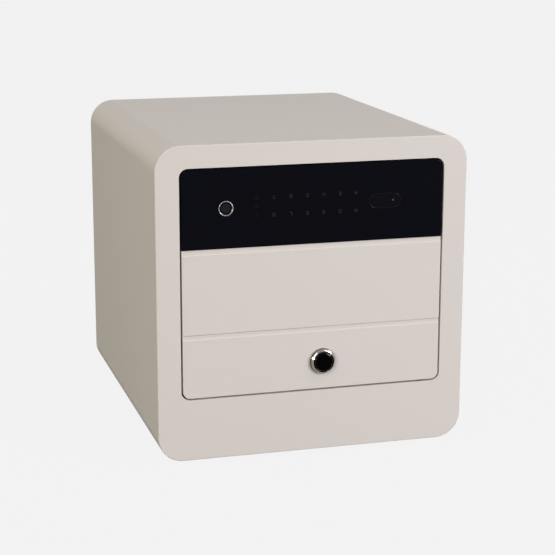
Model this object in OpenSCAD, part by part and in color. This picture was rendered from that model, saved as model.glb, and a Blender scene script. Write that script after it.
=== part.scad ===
// Biometric safe: a rounded steel cabinet with an inset door that swings on two hidden pivots.
// Millimetres. +Z is up, the door faces -Y, and the origin is the bottom centre of the whole safe.

/* [Cabinet] */
// Width of the cabinet
body_w = 360; // [350:5:420]
// Height of the cabinet without its feet
body_h = 357; // [350:1:420]
// Depth of the cabinet
body_d = 410; // [380:5:480]
// Outside radius of the four long edges
corner_r = 29; // [26:1:29]
// Thickness of the wrapped steel shell
shell_t = 3; // [2:0.5:4]
// Thickness of the front plate
plate_t = 4; // [3:0.5:6]
// Thickness of the back panel
back_t = 3; // [2:0.5:5]
// Size of the small round on the front plate's outer edge
edge_round = 1; // [0.5:0.1:1.5]
// Width of the front plate beside the door
side_margin = 27; // [24:0.5:30]
// Height of the front plate above the door
top_margin = 25.5; // [24:0.5:30]
// Height of the front plate below the door
bottom_margin = 70.5; // [64:0.5:76]
// Corner radius of the door opening
open_r = 10; // [8:0.5:12]
// Depth of the jamb behind the front face
jamb_d = 45; // [43:1:55]
// Thickness of the jamb
jamb_t = 2.5; // [2:0.5:3]
// How far the door stop turns inwards from the jamb
stop_w = 8; // [5:0.5:8]
// Thickness of the door stop
stop_t = 2; // [1.5:0.5:2.5]

/* [Storage tank] */
// Thickness of the inner tank
tank_t = 1.5; // [1.5:0.5:2.5]
// Inside radius of the tank's folds
fold_r = 3; // [3:0.5:6]
// Thickness of the felt on the tank floor
mat_t = 3; // [2:0.5:4]
// Gap between the felt and the walls round it
mat_gap = 2; // [1:0.5:4]
// Height of the shelf above the cabinet's underside
shelf_z = 190; // [160:5:230]
// Thickness of the shelf and of its rails
shelf_t = 1.5; // [1:0.5:2]
// Depth of the shelf
shelf_d = 270; // [200:10:290]
// Gap between the door's side of the tank and the shelf
shelf_front = 50; // [45:5:60]
// Height of the shelf's folded edges
shelf_lip = 12; // [8:1:16]
// Gap between the door opening's sides and the shelf, so that it comes out
shelf_gap = 4; // [3:0.5:5]
// Width of the rails' ledge
rail_w = 14; // [12:1:16]
// Height of the rails' upright leg
rail_h = 16; // [12:1:20]
// Thickness of the felt on the shelf
shelf_mat_t = 2; // [1.5:0.5:3]

/* [Feet and anchor holes] */
// Height of the rubber feet
foot_h = 4; // [3:0.5:6]
// Radius of a foot where it meets the cabinet
foot_r = 13; // [10:1:16]
// Distance of the feet from the cabinet's sides
foot_side = 55; // [48:1:65]
// Distance of the feet from the cabinet's front and back
foot_end = 50; // [40:1:60]
// Radius of the anchor bolt holes
anchor_r = 5.5; // [4:0.5:6.5]
// Distance between the floor's anchor holes from left to right
floor_anchor_x = 200; // [160:5:220]
// Distance between the floor's anchor holes from front to back
floor_anchor_y = 220; // [180:5:240]
// Distance between the back's two anchor holes
back_anchor_x = 200; // [120:5:240]
// Height of the back's anchor holes above the cabinet's underside
back_anchor_z = 270; // [250:5:290]

/* [Door] */
// Gap between the door and its opening
door_gap = 2; // [1.8:0.1:2.2]
// Depth of the door's folded pan
pan_d = 32; // [32:0.5:33]
// Thickness of the door's front skin
skin_t = 5; // [4.5:0.5:5]
// Thickness of the pan's sides
wall_t = 2; // [1.5:0.5:2.5]
// Thickness of the cover inside the door
cover_t = 2; // [1.5:0.5:2.5]
// Height of the glass panel
glass_h = 88.5; // [84:0.5:92]
// Thickness of the glass
glass_t = 3; // [2.5:0.5:3.5]
// Height of the shallow channel at the top of each steel field
channel_h = 6; // [4:0.5:8]
// Depth of the channel, and width of the chamfer along its lower edge
channel_d = 1; // [0.8:0.1:1.5]
// Width of the joint line along the lower field's channel
joint_w = 0.8; // [0.5:0.1:1.2]
// Depth of the joint line, from the face
joint_d = 2; // [1.6:0.1:2.4]
// Height of the lower steel field
field_h = 72.8; // [68:0.2:76]
// Distance of the hinge axis from the door's edge
hinge_in = 21.5; // [21:0.5:24]
// Depth of the hinge axis behind the front face
hinge_y = 8.5; // [8.5:0.5:9]
// Radius of the hinge pins
pin_r = 3; // [2.5:0.1:3]
// Radial clearance of a turning pin or shaft
run_gap = 0.05; // [0.03:0.01:0.1]
// Thickness of the hinge bushes
bush_t = 1.4; // [1:0.1:1.4]
// Length of the hinge bushes
bush_len = 8; // [6:1:10]
// Thickness of the bushes' flanges
flange_t = 1; // [0.8:0.1:1.2]
// Gap between parts that move past each other
slide_gap = 0.3; // [0.2:0.1:0.4]

/* [Touch panel] */
// Height of the row of controls below the door's top edge
panel_down = 43.5; // [42:0.5:46]
// Distance of the fingerprint reader from the door's left edge
finger_in = 50; // [47:1:56]
// Outside radius of the fingerprint reader's ring
finger_r = 9; // [8:0.5:10]
// Width of the ring
finger_rim = 2.4; // [1.5:0.1:3]
// Distance of the oval sensor window's middle from the door's right edge
oval_in = 68.5; // [63:0.5:71]
// Length of the oval sensor window
oval_w = 37.6; // [32:0.2:40]
// Height of the oval sensor window
oval_h = 17.4; // [14:0.2:18]
// Distance of the lens from the oval's middle
lens_x = 9.7; // [0:0.1:10]
// Thickness of the circuit boards
board_t = 1.6; // [1.2:0.2:2]
// Gap between the key board and the parts on both sides of it
keys_gap = 6.5; // [5:0.5:8]
// Height of the key board
keys_h = 48; // [40:2:50]

/* [Lock] */
// Distance of the key lock right of the middle
key_x = 11; // [6:1:16]
// Height of the key lock above the door's lower edge
key_up = 31.8; // [28:0.2:34]
// Radius of the key lock's chrome ring
ring_r = 15.2; // [14.5:0.1:17]
// Height of the chrome ring
ring_h = 5.2; // [4.4:0.2:5.4]
// Radius of the cap over the keyhole
cap_r = 11.8; // [11.4:0.1:12.2]
// How far the cap stands out of the door
cap_proud = 6; // [5.5:0.5:7]
// Radius of the lock's barrel
barrel_r = 9.5; // [9:0.1:9.5]
// Radius of the lock's plug
plug_r = 5.5; // [5:0.1:6]
// Radius of the three bolts
bolt_r = 8; // [7:0.5:8]
// Length of the three bolts
bolt_len = 38.5; // [38:0.5:40]
// Travel of the bolts
bolt_travel = 14; // [12:0.5:14]
// Depth of the bolts' middle behind the front face
bolt_y = 22; // [21.5:0.5:22]
// Distance of the outer bolts from the door's top and bottom edges
bolt_end = 43.5; // [43:0.5:48]
// Radial clearance of the bolts in the door and jamb
bolt_gap = 0.5; // [0.3:0.1:0.8]
// Thickness of the bolt plate
carriage_t = 2.5; // [2:0.5:2.5]
// Width of the bolt plate's upright
carriage_w = 32; // [30:1:34]
// Height of the bolt plate's arm
arm_h = 40; // [38:1:44]
// Tooth size of the rack and its pinion
tooth_m = 1; // [1:0.1:1]
// Teeth on the pinion
pinion_teeth = 12; // [12:1:14]
// Distance of the pinion left of the key lock
pinion_in = 51; // [50:1:56]

/* [Batteries] */
// Diameter of a cell
cell_d = 14.2; // [13.5:0.1:14.5]
// Length of a cell
cell_len = 50; // [48:0.5:50.5]
// Distance of the battery tray's middle from the door's right edge
tray_in = 73; // [69:1:76]
// Thickness of the battery tray
tray_t = 1.6; // [1.2:0.2:2]
// Height of the control board
board_h = 62; // [56:2:66]
// Gap between the control board and the battery tray's rim
board_gap = 11.4; // [10:0.2:16]

/* [Hidden] */
$fn = 64;
// how far a cut runs past the face that it opens
past = 1;

// Where the cabinet stands: its front face and the door opening in it
face_y = -(body_d - cap_proud) / 2;
open_x = body_w / 2 - side_margin;
open_z0 = bottom_margin;
open_z1 = body_h - top_margin;
jamb_x = open_x + jamb_t;

// The storage tank behind the jamb
tank_r = fold_r + tank_t;
tank_in_x = jamb_x - tank_t;
tank_y1 = body_d - back_t;
tank_floor = shell_t + tank_t;
mat_x = jamb_x - tank_r - mat_gap;
shelf_y0 = jamb_d + shelf_front;
shelf_x = open_x - shelf_gap;

// The door and what is set out from its edges
door_x = open_x - door_gap;
door_z0 = open_z0 + door_gap;
door_z1 = open_z1 - door_gap;
door_r = open_r - door_gap;
door_d = pan_d + cover_t;
glass_z0 = door_z1 - glass_h;
field_z = door_z0 + field_h;
panel_z = door_z1 - panel_down;
hinge_x = door_x - hinge_in;
mid_z = (door_z0 + door_z1) / 2;

// The back cover's screws, and the boards' fixing points
cover_boss_x = door_x - 14.5;
cover_boss_r = 4;
cover_bosses = [
    [-cover_boss_x, door_z0 + 15], [-cover_boss_x, mid_z - 42.5], [-cover_boss_x, door_z1 - 15],
    [cover_boss_x, door_z0 + 28], [cover_boss_x, mid_z], [cover_boss_x, door_z1 - 28]
];
screw_r = 2;

// The lock: bolts, their plate, the rack and pinion that move it, and the key lock
key_z = door_z0 + key_up;
bolt_tip = -door_x + 1.5;
plate_x0 = bolt_tip + bolt_len;
bolt_zs = [door_z0 + bolt_end, mid_z, door_z1 - bolt_end];
plate_y1 = pan_d - 3.5;
plate_y0 = plate_y1 - carriage_t;
arm_z1 = key_z + arm_h / 2;
tail_r = 9.5;
window_r = tail_r + 1;
plate_end = 6;
plate_edge = 8;
arm_x1 = key_x + window_r + bolt_travel + plate_edge;
slot_r = 2.5 + slide_gap;
guide_r = 2.5;
guide_in = 9;
guide_key = 29;
guides = [
    [plate_x0 + guide_in, field_z + guide_in + 1], [plate_x0 + guide_in, glass_z0 - 2 * guide_in + 2],
    [key_x - guide_key, key_z - 6]
];
post_r = 4;
pressure = 25;
pitch_r = tooth_m * pinion_teeth / 2;
root_gap = 1.25 * tooth_m;
pinion_x = key_x - pinion_in;
pinion_z = arm_z1 + root_gap + pitch_r;
backlash = 0.12;
box_y1 = 21;
box_half = 15;
motor_r = 7.5;
motor_y = skin_t + motor_r + 0.5;

// The touch panel's parts and the tray behind them
finger_x = -door_x + finger_in;
oval_x = door_x - oval_in;
oval_board_w = 36;
keys_x0 = finger_x + finger_r + 2 * keys_gap + 1;
keys_x1 = oval_x - oval_board_w / 2 - keys_gap;
block_half = 8;
panel_lip = 6;
panel_win_x = hinge_x - block_half - panel_lip - 1.5;
panel_win_h = 56;
panel_wall = 1.5;
tray_back = 12.5;

// The batteries
tray_x = door_x - tray_in;
cell_pitch = cell_d + 0.8;
cell_room_w = 4 * cell_pitch;
contact_l = 3;
contact_w = 0.7 * cell_d;
cell_room_h = cell_len + 2 * contact_l;
tray_z = mid_z - 10;
lid_gap = 0.3;
tray_rim = 3;
tray_flange = 5;
tray_y0 = pan_d - cell_pitch - tray_t;

// The control board lies between the bolt plate's upright and the battery tray, and carries
// a chip, two capacitors, the ribbon's socket, the buzzer and the button's switch
board_y = skin_t + 4;
board_x0 = plate_x0 + carriage_w + 13;
board_x1 = tray_x - cell_room_w / 2 - tray_t - tray_flange - board_gap;
board_w = board_x1 - board_x0;
board_z0 = mid_z - 0.58 * board_h;
board_z1 = board_z0 + board_h;
board_in = 4;
board_screw_r = 1.25;
ribbon_x = board_x0 + 0.583 * board_w;
ribbon_w = 12;
socket_w = ribbon_w + 4;
socket_h = 5;
socket_d = 2.2;
buzzer_x = board_x0 + 0.56 * board_w;
buzzer_r = 9;
buzzer_h = 7;
button_x = board_x0 + 0.8 * board_w;
button_z = mid_z + 8;
button_r = 4;
button_travel = 1;
switch_h = 4;

// Draws what it holds in the cabinet's own frame: y from the front face, z from the underside.
module in_cabinet() {
    translate([0, face_y, foot_h])
        children();
}

// Extrudes an outline drawn in x and z from y0 to y1.
module along_y(y0, y1) {
    translate([0, y1, 0])
        rotate([90, 0, 0])
            linear_extrude(y1 - y0)
                children();
}

// Extrudes an outline drawn in y and z from x0 to x1.
module along_x(x0, x1) {
    translate([x0, 0, 0])
        rotate([90, 0, 90])
            linear_extrude(x1 - x0)
                children();
}

// Turns a profile drawn in radius and y about the y axis through x, z.
module turned(x, z) {
    translate([x, 0, z])
        rotate([-90, 0, 0])
            rotate_extrude()
                children();
}

module rod_y(x, z, r, y0, y1) {
    translate([x, y0, z])
        rotate([-90, 0, 0])
            cylinder(h = y1 - y0, r = r);
}

module rod_x(y, z, r, x0, x1) {
    translate([x0, y, z])
        rotate([0, 90, 0])
            cylinder(h = x1 - x0, r = r);
}

module rod_z(x, y, r, z0, z1) {
    translate([x, y, z0])
        cylinder(h = z1 - z0, r = r);
}

module block(x0, y0, z0, x1, y1, z1) {
    translate([x0, y0, z0])
        cube([x1 - x0, y1 - y0, z1 - z0]);
}

// A rounded rectangle; with rounds of half its height it is drawn as a slot with two round ends.
module round_rect(x0, z0, x1, z1, r) {
    is_slot = z1 - z0 < 2 * r + 0.01;
    translate([x0 + r, z0])
        square([x1 - x0 - 2 * r, z1 - z0]);
    if (!is_slot)
        translate([x0, z0 + r])
            square([x1 - x0, z1 - z0 - 2 * r]);
    for (x = [x0 + r, x1 - r], z = is_slot ? [z0 + r] : [z0 + r, z1 - r])
        translate([x, z])
            circle(r = r);
}

module cabinet_outline(inset = 0) {
    round_rect(-body_w / 2 + inset, inset, body_w / 2 - inset, body_h - inset, corner_r - inset);
}

module opening_outline(grow = 0) {
    round_rect(-open_x - grow, open_z0 - grow, open_x + grow, open_z1 + grow, open_r + grow);
}

module door_outline(inset = 0) {
    round_rect(-door_x + inset, door_z0 + inset, door_x - inset, door_z1 - inset, door_r - inset);
}

module oval_outline(grow = 0) {
    round_rect(
        oval_x - oval_w / 2 - grow, panel_z - oval_h / 2 - grow,
        oval_x + oval_w / 2 + grow, panel_z + oval_h / 2 + grow, oval_h / 2 + grow
    );
}

module floor_anchors(r, z0, z1) {
    for (x = [-1, 1] * floor_anchor_x / 2, y = [-1, 1] * floor_anchor_y / 2)
        rod_z(x, body_d / 2 + y, r, z0, z1);
}

module back_anchors(y0, y1) {
    for (x = [-1, 1] * back_anchor_x / 2)
        rod_y(x, back_anchor_z, anchor_r, y0, y1);
}

module at_board_screws() {
    for (x = [board_x0 + board_in, board_x1 - board_in], z = [board_z0 + board_in, board_z1 - board_in])
        translate([x, 0, z])
            children();
}

module at_feet() {
    for (x = [-1, 1] * (body_w / 2 - foot_side), y = [foot_end, body_d - foot_end])
        translate([x, y, 0])
            children();
}

// Screws and their holes share this radius, and a foot's screw ends in the shell's floor.
foot_screw_r = 2;

module body_shell() {
    color("#cbc3b8") in_cabinet() difference() {
        along_y(plate_t, body_d) difference() {
            cabinet_outline();
            cabinet_outline(shell_t);
        }
        floor_anchors(anchor_r, -past, shell_t + past);
        at_feet()
            rod_z(0, 0, foot_screw_r, -past, shell_t + past);
    }
}

// The strip that is cut off the front plate's outer edge to round it, along one side.
module edge_strip(length) {
    translate([0, 0, -length / 2])
        linear_extrude(length)
            edge_profile();
}

module edge_profile() {
    difference() {
        translate([-edge_round, -past])
            square([edge_round + past, edge_round + past]);
        translate([-edge_round, edge_round])
            circle(r = edge_round);
    }
}

module front_frame() {
    lip_y = door_d + 2;
    color("#d6d0c8") in_cabinet() difference() {
        union() {
            along_y(0, plate_t) difference() {
                cabinet_outline();
                opening_outline();
            }
            along_y(0, jamb_d) difference() {
                opening_outline(jamb_t);
                opening_outline();
            }
            along_y(lip_y, lip_y + stop_t) difference() {
                intersection() {
                    opening_outline(jamb_t / 2);
                    translate([-body_w / 2, 0])
                        square([body_w / 2 + hinge_x - 45, body_h]);
                }
                round_rect(-open_x + stop_w, open_z0 + stop_w, body_w, open_z1 - stop_w, 3);
            }
        }
        for (z = bolt_zs)
            rod_x(bolt_y, z, bolt_r + bolt_gap, -jamb_x - past, -open_x + past);
        rod_z(hinge_x, hinge_y, pin_r + run_gap + bush_t, open_z1 - past, open_z1 + bush_len);
        rod_z(hinge_x, hinge_y, pin_r + run_gap + bush_t, open_z0 - bush_len, open_z0 + past);
        for (side = [-1, 1])
            translate([side * body_w / 2, 0, body_h / 2])
                mirror([side < 0 ? 1 : 0, 0, 0])
                    edge_strip(body_h - 2 * corner_r);
        for (top = [0, 1])
            translate([0, 0, top * body_h])
                rotate([0, top ? -90 : 90, 0])
                    edge_strip(body_w - 2 * corner_r);
        for (sx = [-1, 1], sz = [-1, 1])
            translate([sx * (body_w / 2 - corner_r), 0, body_h / 2 + sz * (body_h / 2 - corner_r)])
                rotate([0, sx > 0 ? (sz > 0 ? -90 : 0) : (sz > 0 ? 180 : 90), 0])
                    rotate([-90, 0, 0])
                        rotate_extrude(angle = 90)
                            translate([corner_r, 0])
                                edge_profile();
    }
}

module back_panel() {
    color("#b9b2a8") in_cabinet() difference() {
        along_y(tank_y1, body_d)
            cabinet_outline(shell_t);
        back_anchors(tank_y1 - past, body_d + past);
    }
}

module tank_outline(inset = 0) {
    round_rect(
        -jamb_x + inset, shell_t + inset, jamb_x - inset, open_z1 + jamb_t - inset, tank_r - inset
    );
}

module inner_tank() {
    color("#8d8a86") in_cabinet() difference() {
        along_y(jamb_d, tank_y1)
            tank_outline();
        along_y(jamb_d + tank_t, tank_y1 - tank_t)
            tank_outline(tank_t);
        along_y(jamb_d - past, jamb_d + tank_t + past)
            opening_outline();
        floor_anchors(anchor_r, 0, tank_floor + past);
        back_anchors(tank_y1 - tank_t - past, tank_y1 + past);
    }
}

module floor_mat() {
    color("#4a4c50") in_cabinet() difference() {
        block(
            -mat_x, jamb_d + tank_t + mat_gap, tank_floor,
            mat_x, tank_y1 - tank_t - mat_gap, tank_floor + mat_t
        );
        floor_anchors(anchor_r + 4, tank_floor - past, tank_floor + mat_t + past);
    }
}

// The rails run the shelf's length, and their screws are shared out along them.
rail_screw_r = 2;
rail_screw_ys = [for (i = [0:2]) shelf_y0 + shelf_d * (0.1 + 0.4 * i)];

module shelf_rails() {
    color("#9a9691") in_cabinet() difference() {
        for (side = [0, 1])
            mirror([side, 0, 0]) {
                block(
                    tank_in_x - shelf_t, shelf_y0, shelf_z - rail_h,
                    tank_in_x, shelf_y0 + shelf_d, shelf_z
                );
                block(
                    tank_in_x - rail_w, shelf_y0, shelf_z - shelf_t,
                    tank_in_x, shelf_y0 + shelf_d, shelf_z
                );
            }
        for (y = rail_screw_ys)
            rod_x(y, shelf_z - rail_h / 2, rail_screw_r, -body_w, body_w);
    }
}

module rail_screws() {
    head_h = 1.6;
    color("#d8d8d6") in_cabinet()
        for (side = [0, 1], y = rail_screw_ys)
            mirror([side, 0, 0]) {
                rod_x(y, shelf_z - rail_h / 2, rail_screw_r, tank_in_x - shelf_t, tank_in_x);
                rod_x(
                    y, shelf_z - rail_h / 2, 2 * rail_screw_r,
                    tank_in_x - shelf_t - head_h, tank_in_x - shelf_t
                );
            }
}

module shelf() {
    lip_x = tank_in_x - rail_w - 2;
    color("#a8a5a0") in_cabinet() {
        difference() {
            block(-shelf_x, shelf_y0, shelf_z, shelf_x, shelf_y0 + shelf_d, shelf_z + shelf_t);
            for (x = [-2:2])
                translate([x * 52, shelf_y0 + shelf_d - 30, shelf_z])
                    cylinder(h = 4 * shelf_t, r = 4, center = true);
        }
        for (y = [shelf_y0, shelf_y0 + shelf_d - shelf_t])
            block(-lip_x, y, shelf_z - shelf_lip, lip_x, y + shelf_t, shelf_z + shelf_t / 2);
    }
}

module shelf_mat() {
    inset = 4;
    color("#4a4c50") in_cabinet()
        block(
            -shelf_x + inset, shelf_y0 + inset, shelf_z + shelf_t,
            shelf_x - inset, shelf_y0 + shelf_d - 45, shelf_z + shelf_t + shelf_mat_t
        );
}

// A foot tapers to its tread and is hollowed for its screw.
module rubber_feet() {
    color("#26272a") in_cabinet() at_feet() difference() {
        translate([0, 0, -foot_h])
            cylinder(h = foot_h, r1 = foot_r - 1.5, r2 = foot_r);
        rod_z(0, 0, 2.5 * foot_screw_r, -foot_h - past, -foot_h / 2);
        rod_z(0, 0, foot_screw_r, -foot_h - past, past);
    }
}

module foot_screws() {
    head_h = 1.2;
    color("#c4c4c2") in_cabinet() at_feet() {
        rod_z(0, 0, 2 * foot_screw_r, -foot_h / 2 - head_h, -foot_h / 2);
        rod_z(0, 0, foot_screw_r, -foot_h / 2, shell_t);
    }
}

// Both hinge ends are alike, turned over: z runs from the jamb's face into it.
module at_hinge_ends() {
    translate([hinge_x, hinge_y, open_z1])
        children();
    translate([hinge_x, hinge_y, open_z0])
        mirror([0, 0, 1])
            children();
}

module hinge_bushes() {
    color("#c9a45c") in_cabinet() at_hinge_ends() difference() {
        union() {
            cylinder(h = bush_len, r = pin_r + run_gap + bush_t);
            translate([0, 0, -flange_t])
                cylinder(h = flange_t, r = pin_r + run_gap + 2 * bush_t);
        }
        translate([0, 0, -flange_t - past])
            cylinder(h = bush_len + flange_t + 2 * past, r = pin_r + run_gap);
    }
}

block_h = 12;

module hinge_pins() {
    color("#d2d2d0") in_cabinet() at_hinge_ends() {
        translate([0, 0, -door_gap - wall_t - block_h])
            cylinder(h = door_gap + wall_t + block_h + bush_len - 1, r = pin_r);
        translate([0, 0, -door_gap])
            cylinder(h = door_gap - flange_t - slide_gap, r = pin_r + bush_t);
    }
}

module hinge_blocks() {
    half = block_half;
    color("#7d7d7a") in_cabinet() at_hinge_ends() difference() {
        translate([-half, skin_t - hinge_y, -door_gap - wall_t - block_h])
            cube([2 * half, 2 * half - 2, block_h]);
        translate([0, 0, -door_gap - wall_t - block_h - past])
            cylinder(h = block_h + 2 * past, r = pin_r);
    }
}

// A shallow channel that ends squarely at z, and in a chamfer along its lower edge.
module channel_cut(z) {
    z0 = z - channel_h;
    along_x(-body_w, body_w)
        polygon([
            [-past, z0 - past], [channel_d, z0 + channel_d], [channel_d, z], [-past, z]
        ]);
}

module door_pan() {
    color("#d6d0c8") in_cabinet() difference() {
        union() {
            difference() {
                along_y(0, pan_d)
                    door_outline();
                along_y(skin_t, pan_d + past)
                    door_outline(wall_t);
            }
            for (p = guides)
                rod_y(p[0], p[1], post_r, skin_t / 2, plate_y0 - slide_gap);
            for (p = cover_bosses)
                rod_y(p[0], p[1], cover_boss_r, skin_t / 2, pan_d);
            at_board_screws()
                rod_y(0, 0, 2.4 * board_screw_r, skin_t / 2, board_y);
        }
        block(-body_w, -past, glass_z0, body_w, glass_t, body_h);
        block(
            -panel_win_x, 0, panel_z - panel_win_h / 2,
            panel_win_x, skin_t + past, panel_z + panel_win_h / 2
        );
        channel_cut(glass_z0);
        channel_cut(field_z);
        block(-body_w, -past, field_z - joint_w, body_w, joint_d, field_z);
        rod_y(key_x, key_z, barrel_r, -past, skin_t + past);
        for (z = bolt_zs)
            rod_x(bolt_y, z, bolt_r + bolt_gap, -door_x - past, -door_x + wall_t + past);
        rod_z(hinge_x, hinge_y, pin_r, door_z0 - past, door_z0 + wall_t + past);
        rod_z(hinge_x, hinge_y, pin_r, door_z1 - wall_t - past, door_z1 + past);
        for (p = guides)
            rod_y(p[0], p[1], screw_r, skin_t + 2, plate_y0);
        for (p = cover_bosses)
            rod_y(p[0], p[1], screw_r, skin_t + 2, pan_d + past);
        at_board_screws()
            rod_y(0, 0, board_screw_r, skin_t - 1, board_y + past);
    }
}

module door_glass() {
    seam = 0.2;
    color("#0c0d10") in_cabinet() along_y(0, glass_t) difference() {
        intersection() {
            door_outline();
            translate([-body_w, glass_z0 + seam])
                square([2 * body_w, glass_h]);
        }
        translate([finger_x, panel_z])
            circle(r = finger_r - 0.6);
        oval_outline();
    }
}

// The reader's ring: a flange on the glass with an inner slope, and a sleeve through the glass.
module finger_ring() {
    proud = 0.8;
    inner = finger_r - finger_rim;
    sleeve = finger_r - 0.7;
    color("#d9dadc") in_cabinet() turned(finger_x, panel_z)
        polygon([
            [inner, 0.2], [inner + 0.9, -proud], [finger_r - 0.3, -proud], [finger_r, -proud + 0.3],
            [finger_r, 0], [sleeve, 0], [sleeve, glass_t + 1.5], [inner, glass_t + 1.5]
        ]);
}

module finger_sensor() {
    inner = finger_r - finger_rim - 0.1;
    color("#3c3c3e") in_cabinet() turned(finger_x, panel_z)
        polygon([
            [0, 0.35], [inner - 1, 0.3], [inner - 0.6, 0.5], [inner, 0.5], [inner, glass_t + 1.5],
            [finger_r - 0.7, glass_t + 1.5], [finger_r - 0.7, 10], [0, 10]
        ]);
}

// The oval window stands a little out of the glass, is dished inside its rim and is clipped behind the glass.
module oval_window() {
    proud = 0.4;
    rim = 1.3;
    color("#15161a") in_cabinet() difference() {
        union() {
            along_y(-proud, glass_t + 0.2)
                oval_outline(-0.1);
            along_y(glass_t, glass_t + 1.5)
                oval_outline(1.2);
        }
        along_y(-proud - past, 0)
            oval_outline(-rim);
        rod_y(oval_x + lens_x, panel_z, 1.3, -past, glass_t + 2);
    }
}

module oval_lens() {
    color("#5c6168") in_cabinet() turned(oval_x + lens_x, panel_z)
        polygon([[0, -0.45], [0.6, -0.35], [1.1, -0.1], [1.3, 0.1], [1.3, glass_t + 1.5], [0, glass_t + 1.5]]);
}

module sensor_board() {
    color("#1f5138") in_cabinet() {
        y0 = glass_t + 1.5;
        half = oval_board_w / 2;
        block(oval_x - half, y0, panel_z - 8, oval_x + half, y0 + board_t, panel_z + 8);
        block(oval_x + 4, y0 + board_t, panel_z - 5, oval_x + 14, y0 + board_t + 2.5, panel_z + 5);
    }
}

// The touch keys' board lies against the back of the glass, with a chip and the ribbon's socket.
module key_board() {
    y1 = glass_t + board_t;
    z0 = panel_z - keys_h / 2;
    color("#1f5138") in_cabinet() {
        block(keys_x0, glass_t, z0, keys_x1, y1, z0 + keys_h);
        block(ribbon_x - 8, y1, panel_z - 8, ribbon_x + 8, y1 + 2, panel_z + 8);
        block(ribbon_x - socket_w / 2, y1, z0 + 1, ribbon_x + socket_w / 2, y1 + socket_d, z0 + 1 + socket_h);
    }
}

// The tray closes the window in the skin behind the boards. The ribbon leaves by the slot in its floor.
module panel_tray() {
    x = panel_win_x - 2;
    h = panel_win_h / 2;
    color("#2b2c2f") in_cabinet() difference() {
        union() {
            block(
                -panel_win_x - panel_lip, skin_t, panel_z - h - panel_lip,
                panel_win_x + panel_lip, skin_t + panel_wall, panel_z + h + panel_lip
            );
            block(-x, skin_t, panel_z - h + 2, x, tray_back, panel_z + h - 2);
        }
        block(
            -x + panel_wall, skin_t - past, panel_z - h + 2 + panel_wall,
            x - panel_wall, tray_back - panel_wall, panel_z + h - 2 - panel_wall
        );
        block(
            ribbon_x - socket_w / 2, skin_t + panel_wall, panel_z - h - past,
            ribbon_x + socket_w / 2, skin_t + panel_wall + 2.5, panel_z - h + 5
        );
    }
}

// The chrome ring round the keyhole cap rises in a quarter round and falls inside it.
module key_ring() {
    crest = (ring_r + cap_r + slide_gap) / 2;
    inner = cap_r + slide_gap;
    color("#d9dadc") in_cabinet() turned(key_x, key_z)
        polygon(concat(
            [[inner, 0], [inner, -ring_h * 0.7]],
            [for (a = [0:15:90]) [crest + (ring_r - crest) * sin(a), -ring_h * cos(a)]]
        ));
}

module lock_barrel() {
    color("#b8b9ba") in_cabinet() difference() {
        rod_y(key_x, key_z, barrel_r, -2, plate_y0 - 3);
        rod_y(key_x, key_z, plug_r + run_gap, -2 - past, plate_y0);
    }
}

module barrel_nut() {
    color("#a9aaab") in_cabinet() difference() {
        translate([key_x, skin_t, key_z])
            rotate([-90, 0, 0])
                cylinder(h = 4, r = barrel_r + 4, $fn = 6);
        rod_y(key_x, key_z, barrel_r, skin_t - past, skin_t + 5);
    }
}

// The cap is a shallow dome with a soft shoulder, hollow over the lock's face.
module key_cap() {
    shoulder = 3;
    skin = 1.2;
    dome = 0.6;
    color("#08090b") in_cabinet() turned(key_x, key_z)
        polygon(concat(
            [[0, -cap_proud]],
            [for (a = [0:15:90])
                [cap_r - shoulder + shoulder * sin(a), -cap_proud + dome + shoulder * (1 - cos(a))]],
            [[cap_r, -slide_gap], [cap_r - skin, -slide_gap], [cap_r - skin, -3.2], [0, -3.2]]
        ));
}

module key_plug() {
    color("#c9b27a") in_cabinet() difference() {
        union() {
            rod_y(key_x, key_z, plug_r, -2, plate_y0 - 1);
            block(key_x - 2.5, plate_y0 - 1.5, key_z - 2.5, key_x + 2.5, plate_y1, key_z + 2.5);
            rod_y(key_x, key_z, 3.4, plate_y1, plate_y1 + 2);
        }
        block(key_x - 1, -2 - past, key_z - 4, key_x + 1, 16, key_z + 4);
    }
}

// The tail is carried on the plug's square end and turns inside the bolt plate's window.
module key_tail() {
    color("#9fa0a1") in_cabinet() along_y(plate_y0, plate_y1) difference() {
        union() {
            translate([key_x, key_z])
                circle(r = 5.5);
            translate([key_x - 4, key_z])
                square([8, 7]);
            intersection() {
                translate([key_x, key_z])
                    circle(r = tail_r);
                translate([key_x - 4, key_z])
                    square([8, tail_r + 1]);
            }
        }
        translate([key_x - 2.5, key_z - 2.5])
            square(5);
    }
}

// The involute's turn, in degrees, from its base circle out to where the pressure angle is a.
function involute(a) = tan(a) * 180 / PI - a;

// Points of one flank of a pinion tooth: side is -1 or 1, and the tooth's middle is at the angle mid.
function flank(side, mid) =
    let (
        base_r = pitch_r * cos(pressure),
        tip_r = pitch_r + tooth_m,
        half = 90 / pinion_teeth - backlash / 2 / pitch_r * 180 / PI
    )
    concat(
        [let (a = mid + side * (half + involute(pressure))) (pitch_r - root_gap) * [cos(a), sin(a)]],
        [for (i = [0:5])
            let (
                r = base_r + (tip_r - base_r) * i / 5,
                a = mid + side * (half + involute(pressure) - involute(acos(base_r / r)))
            )
            r * [cos(a), sin(a)]]
    );

function reversed(list) = [for (i = [len(list) - 1:-1:0]) list[i]];

module pinion_outline() {
    step = 360 / pinion_teeth;
    polygon([for (i = [0:pinion_teeth - 1])
        let (mid = -90 + step * (i + 0.5))
        each concat(flank(-1, mid), reversed(flank(1, mid)))]);
}

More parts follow.
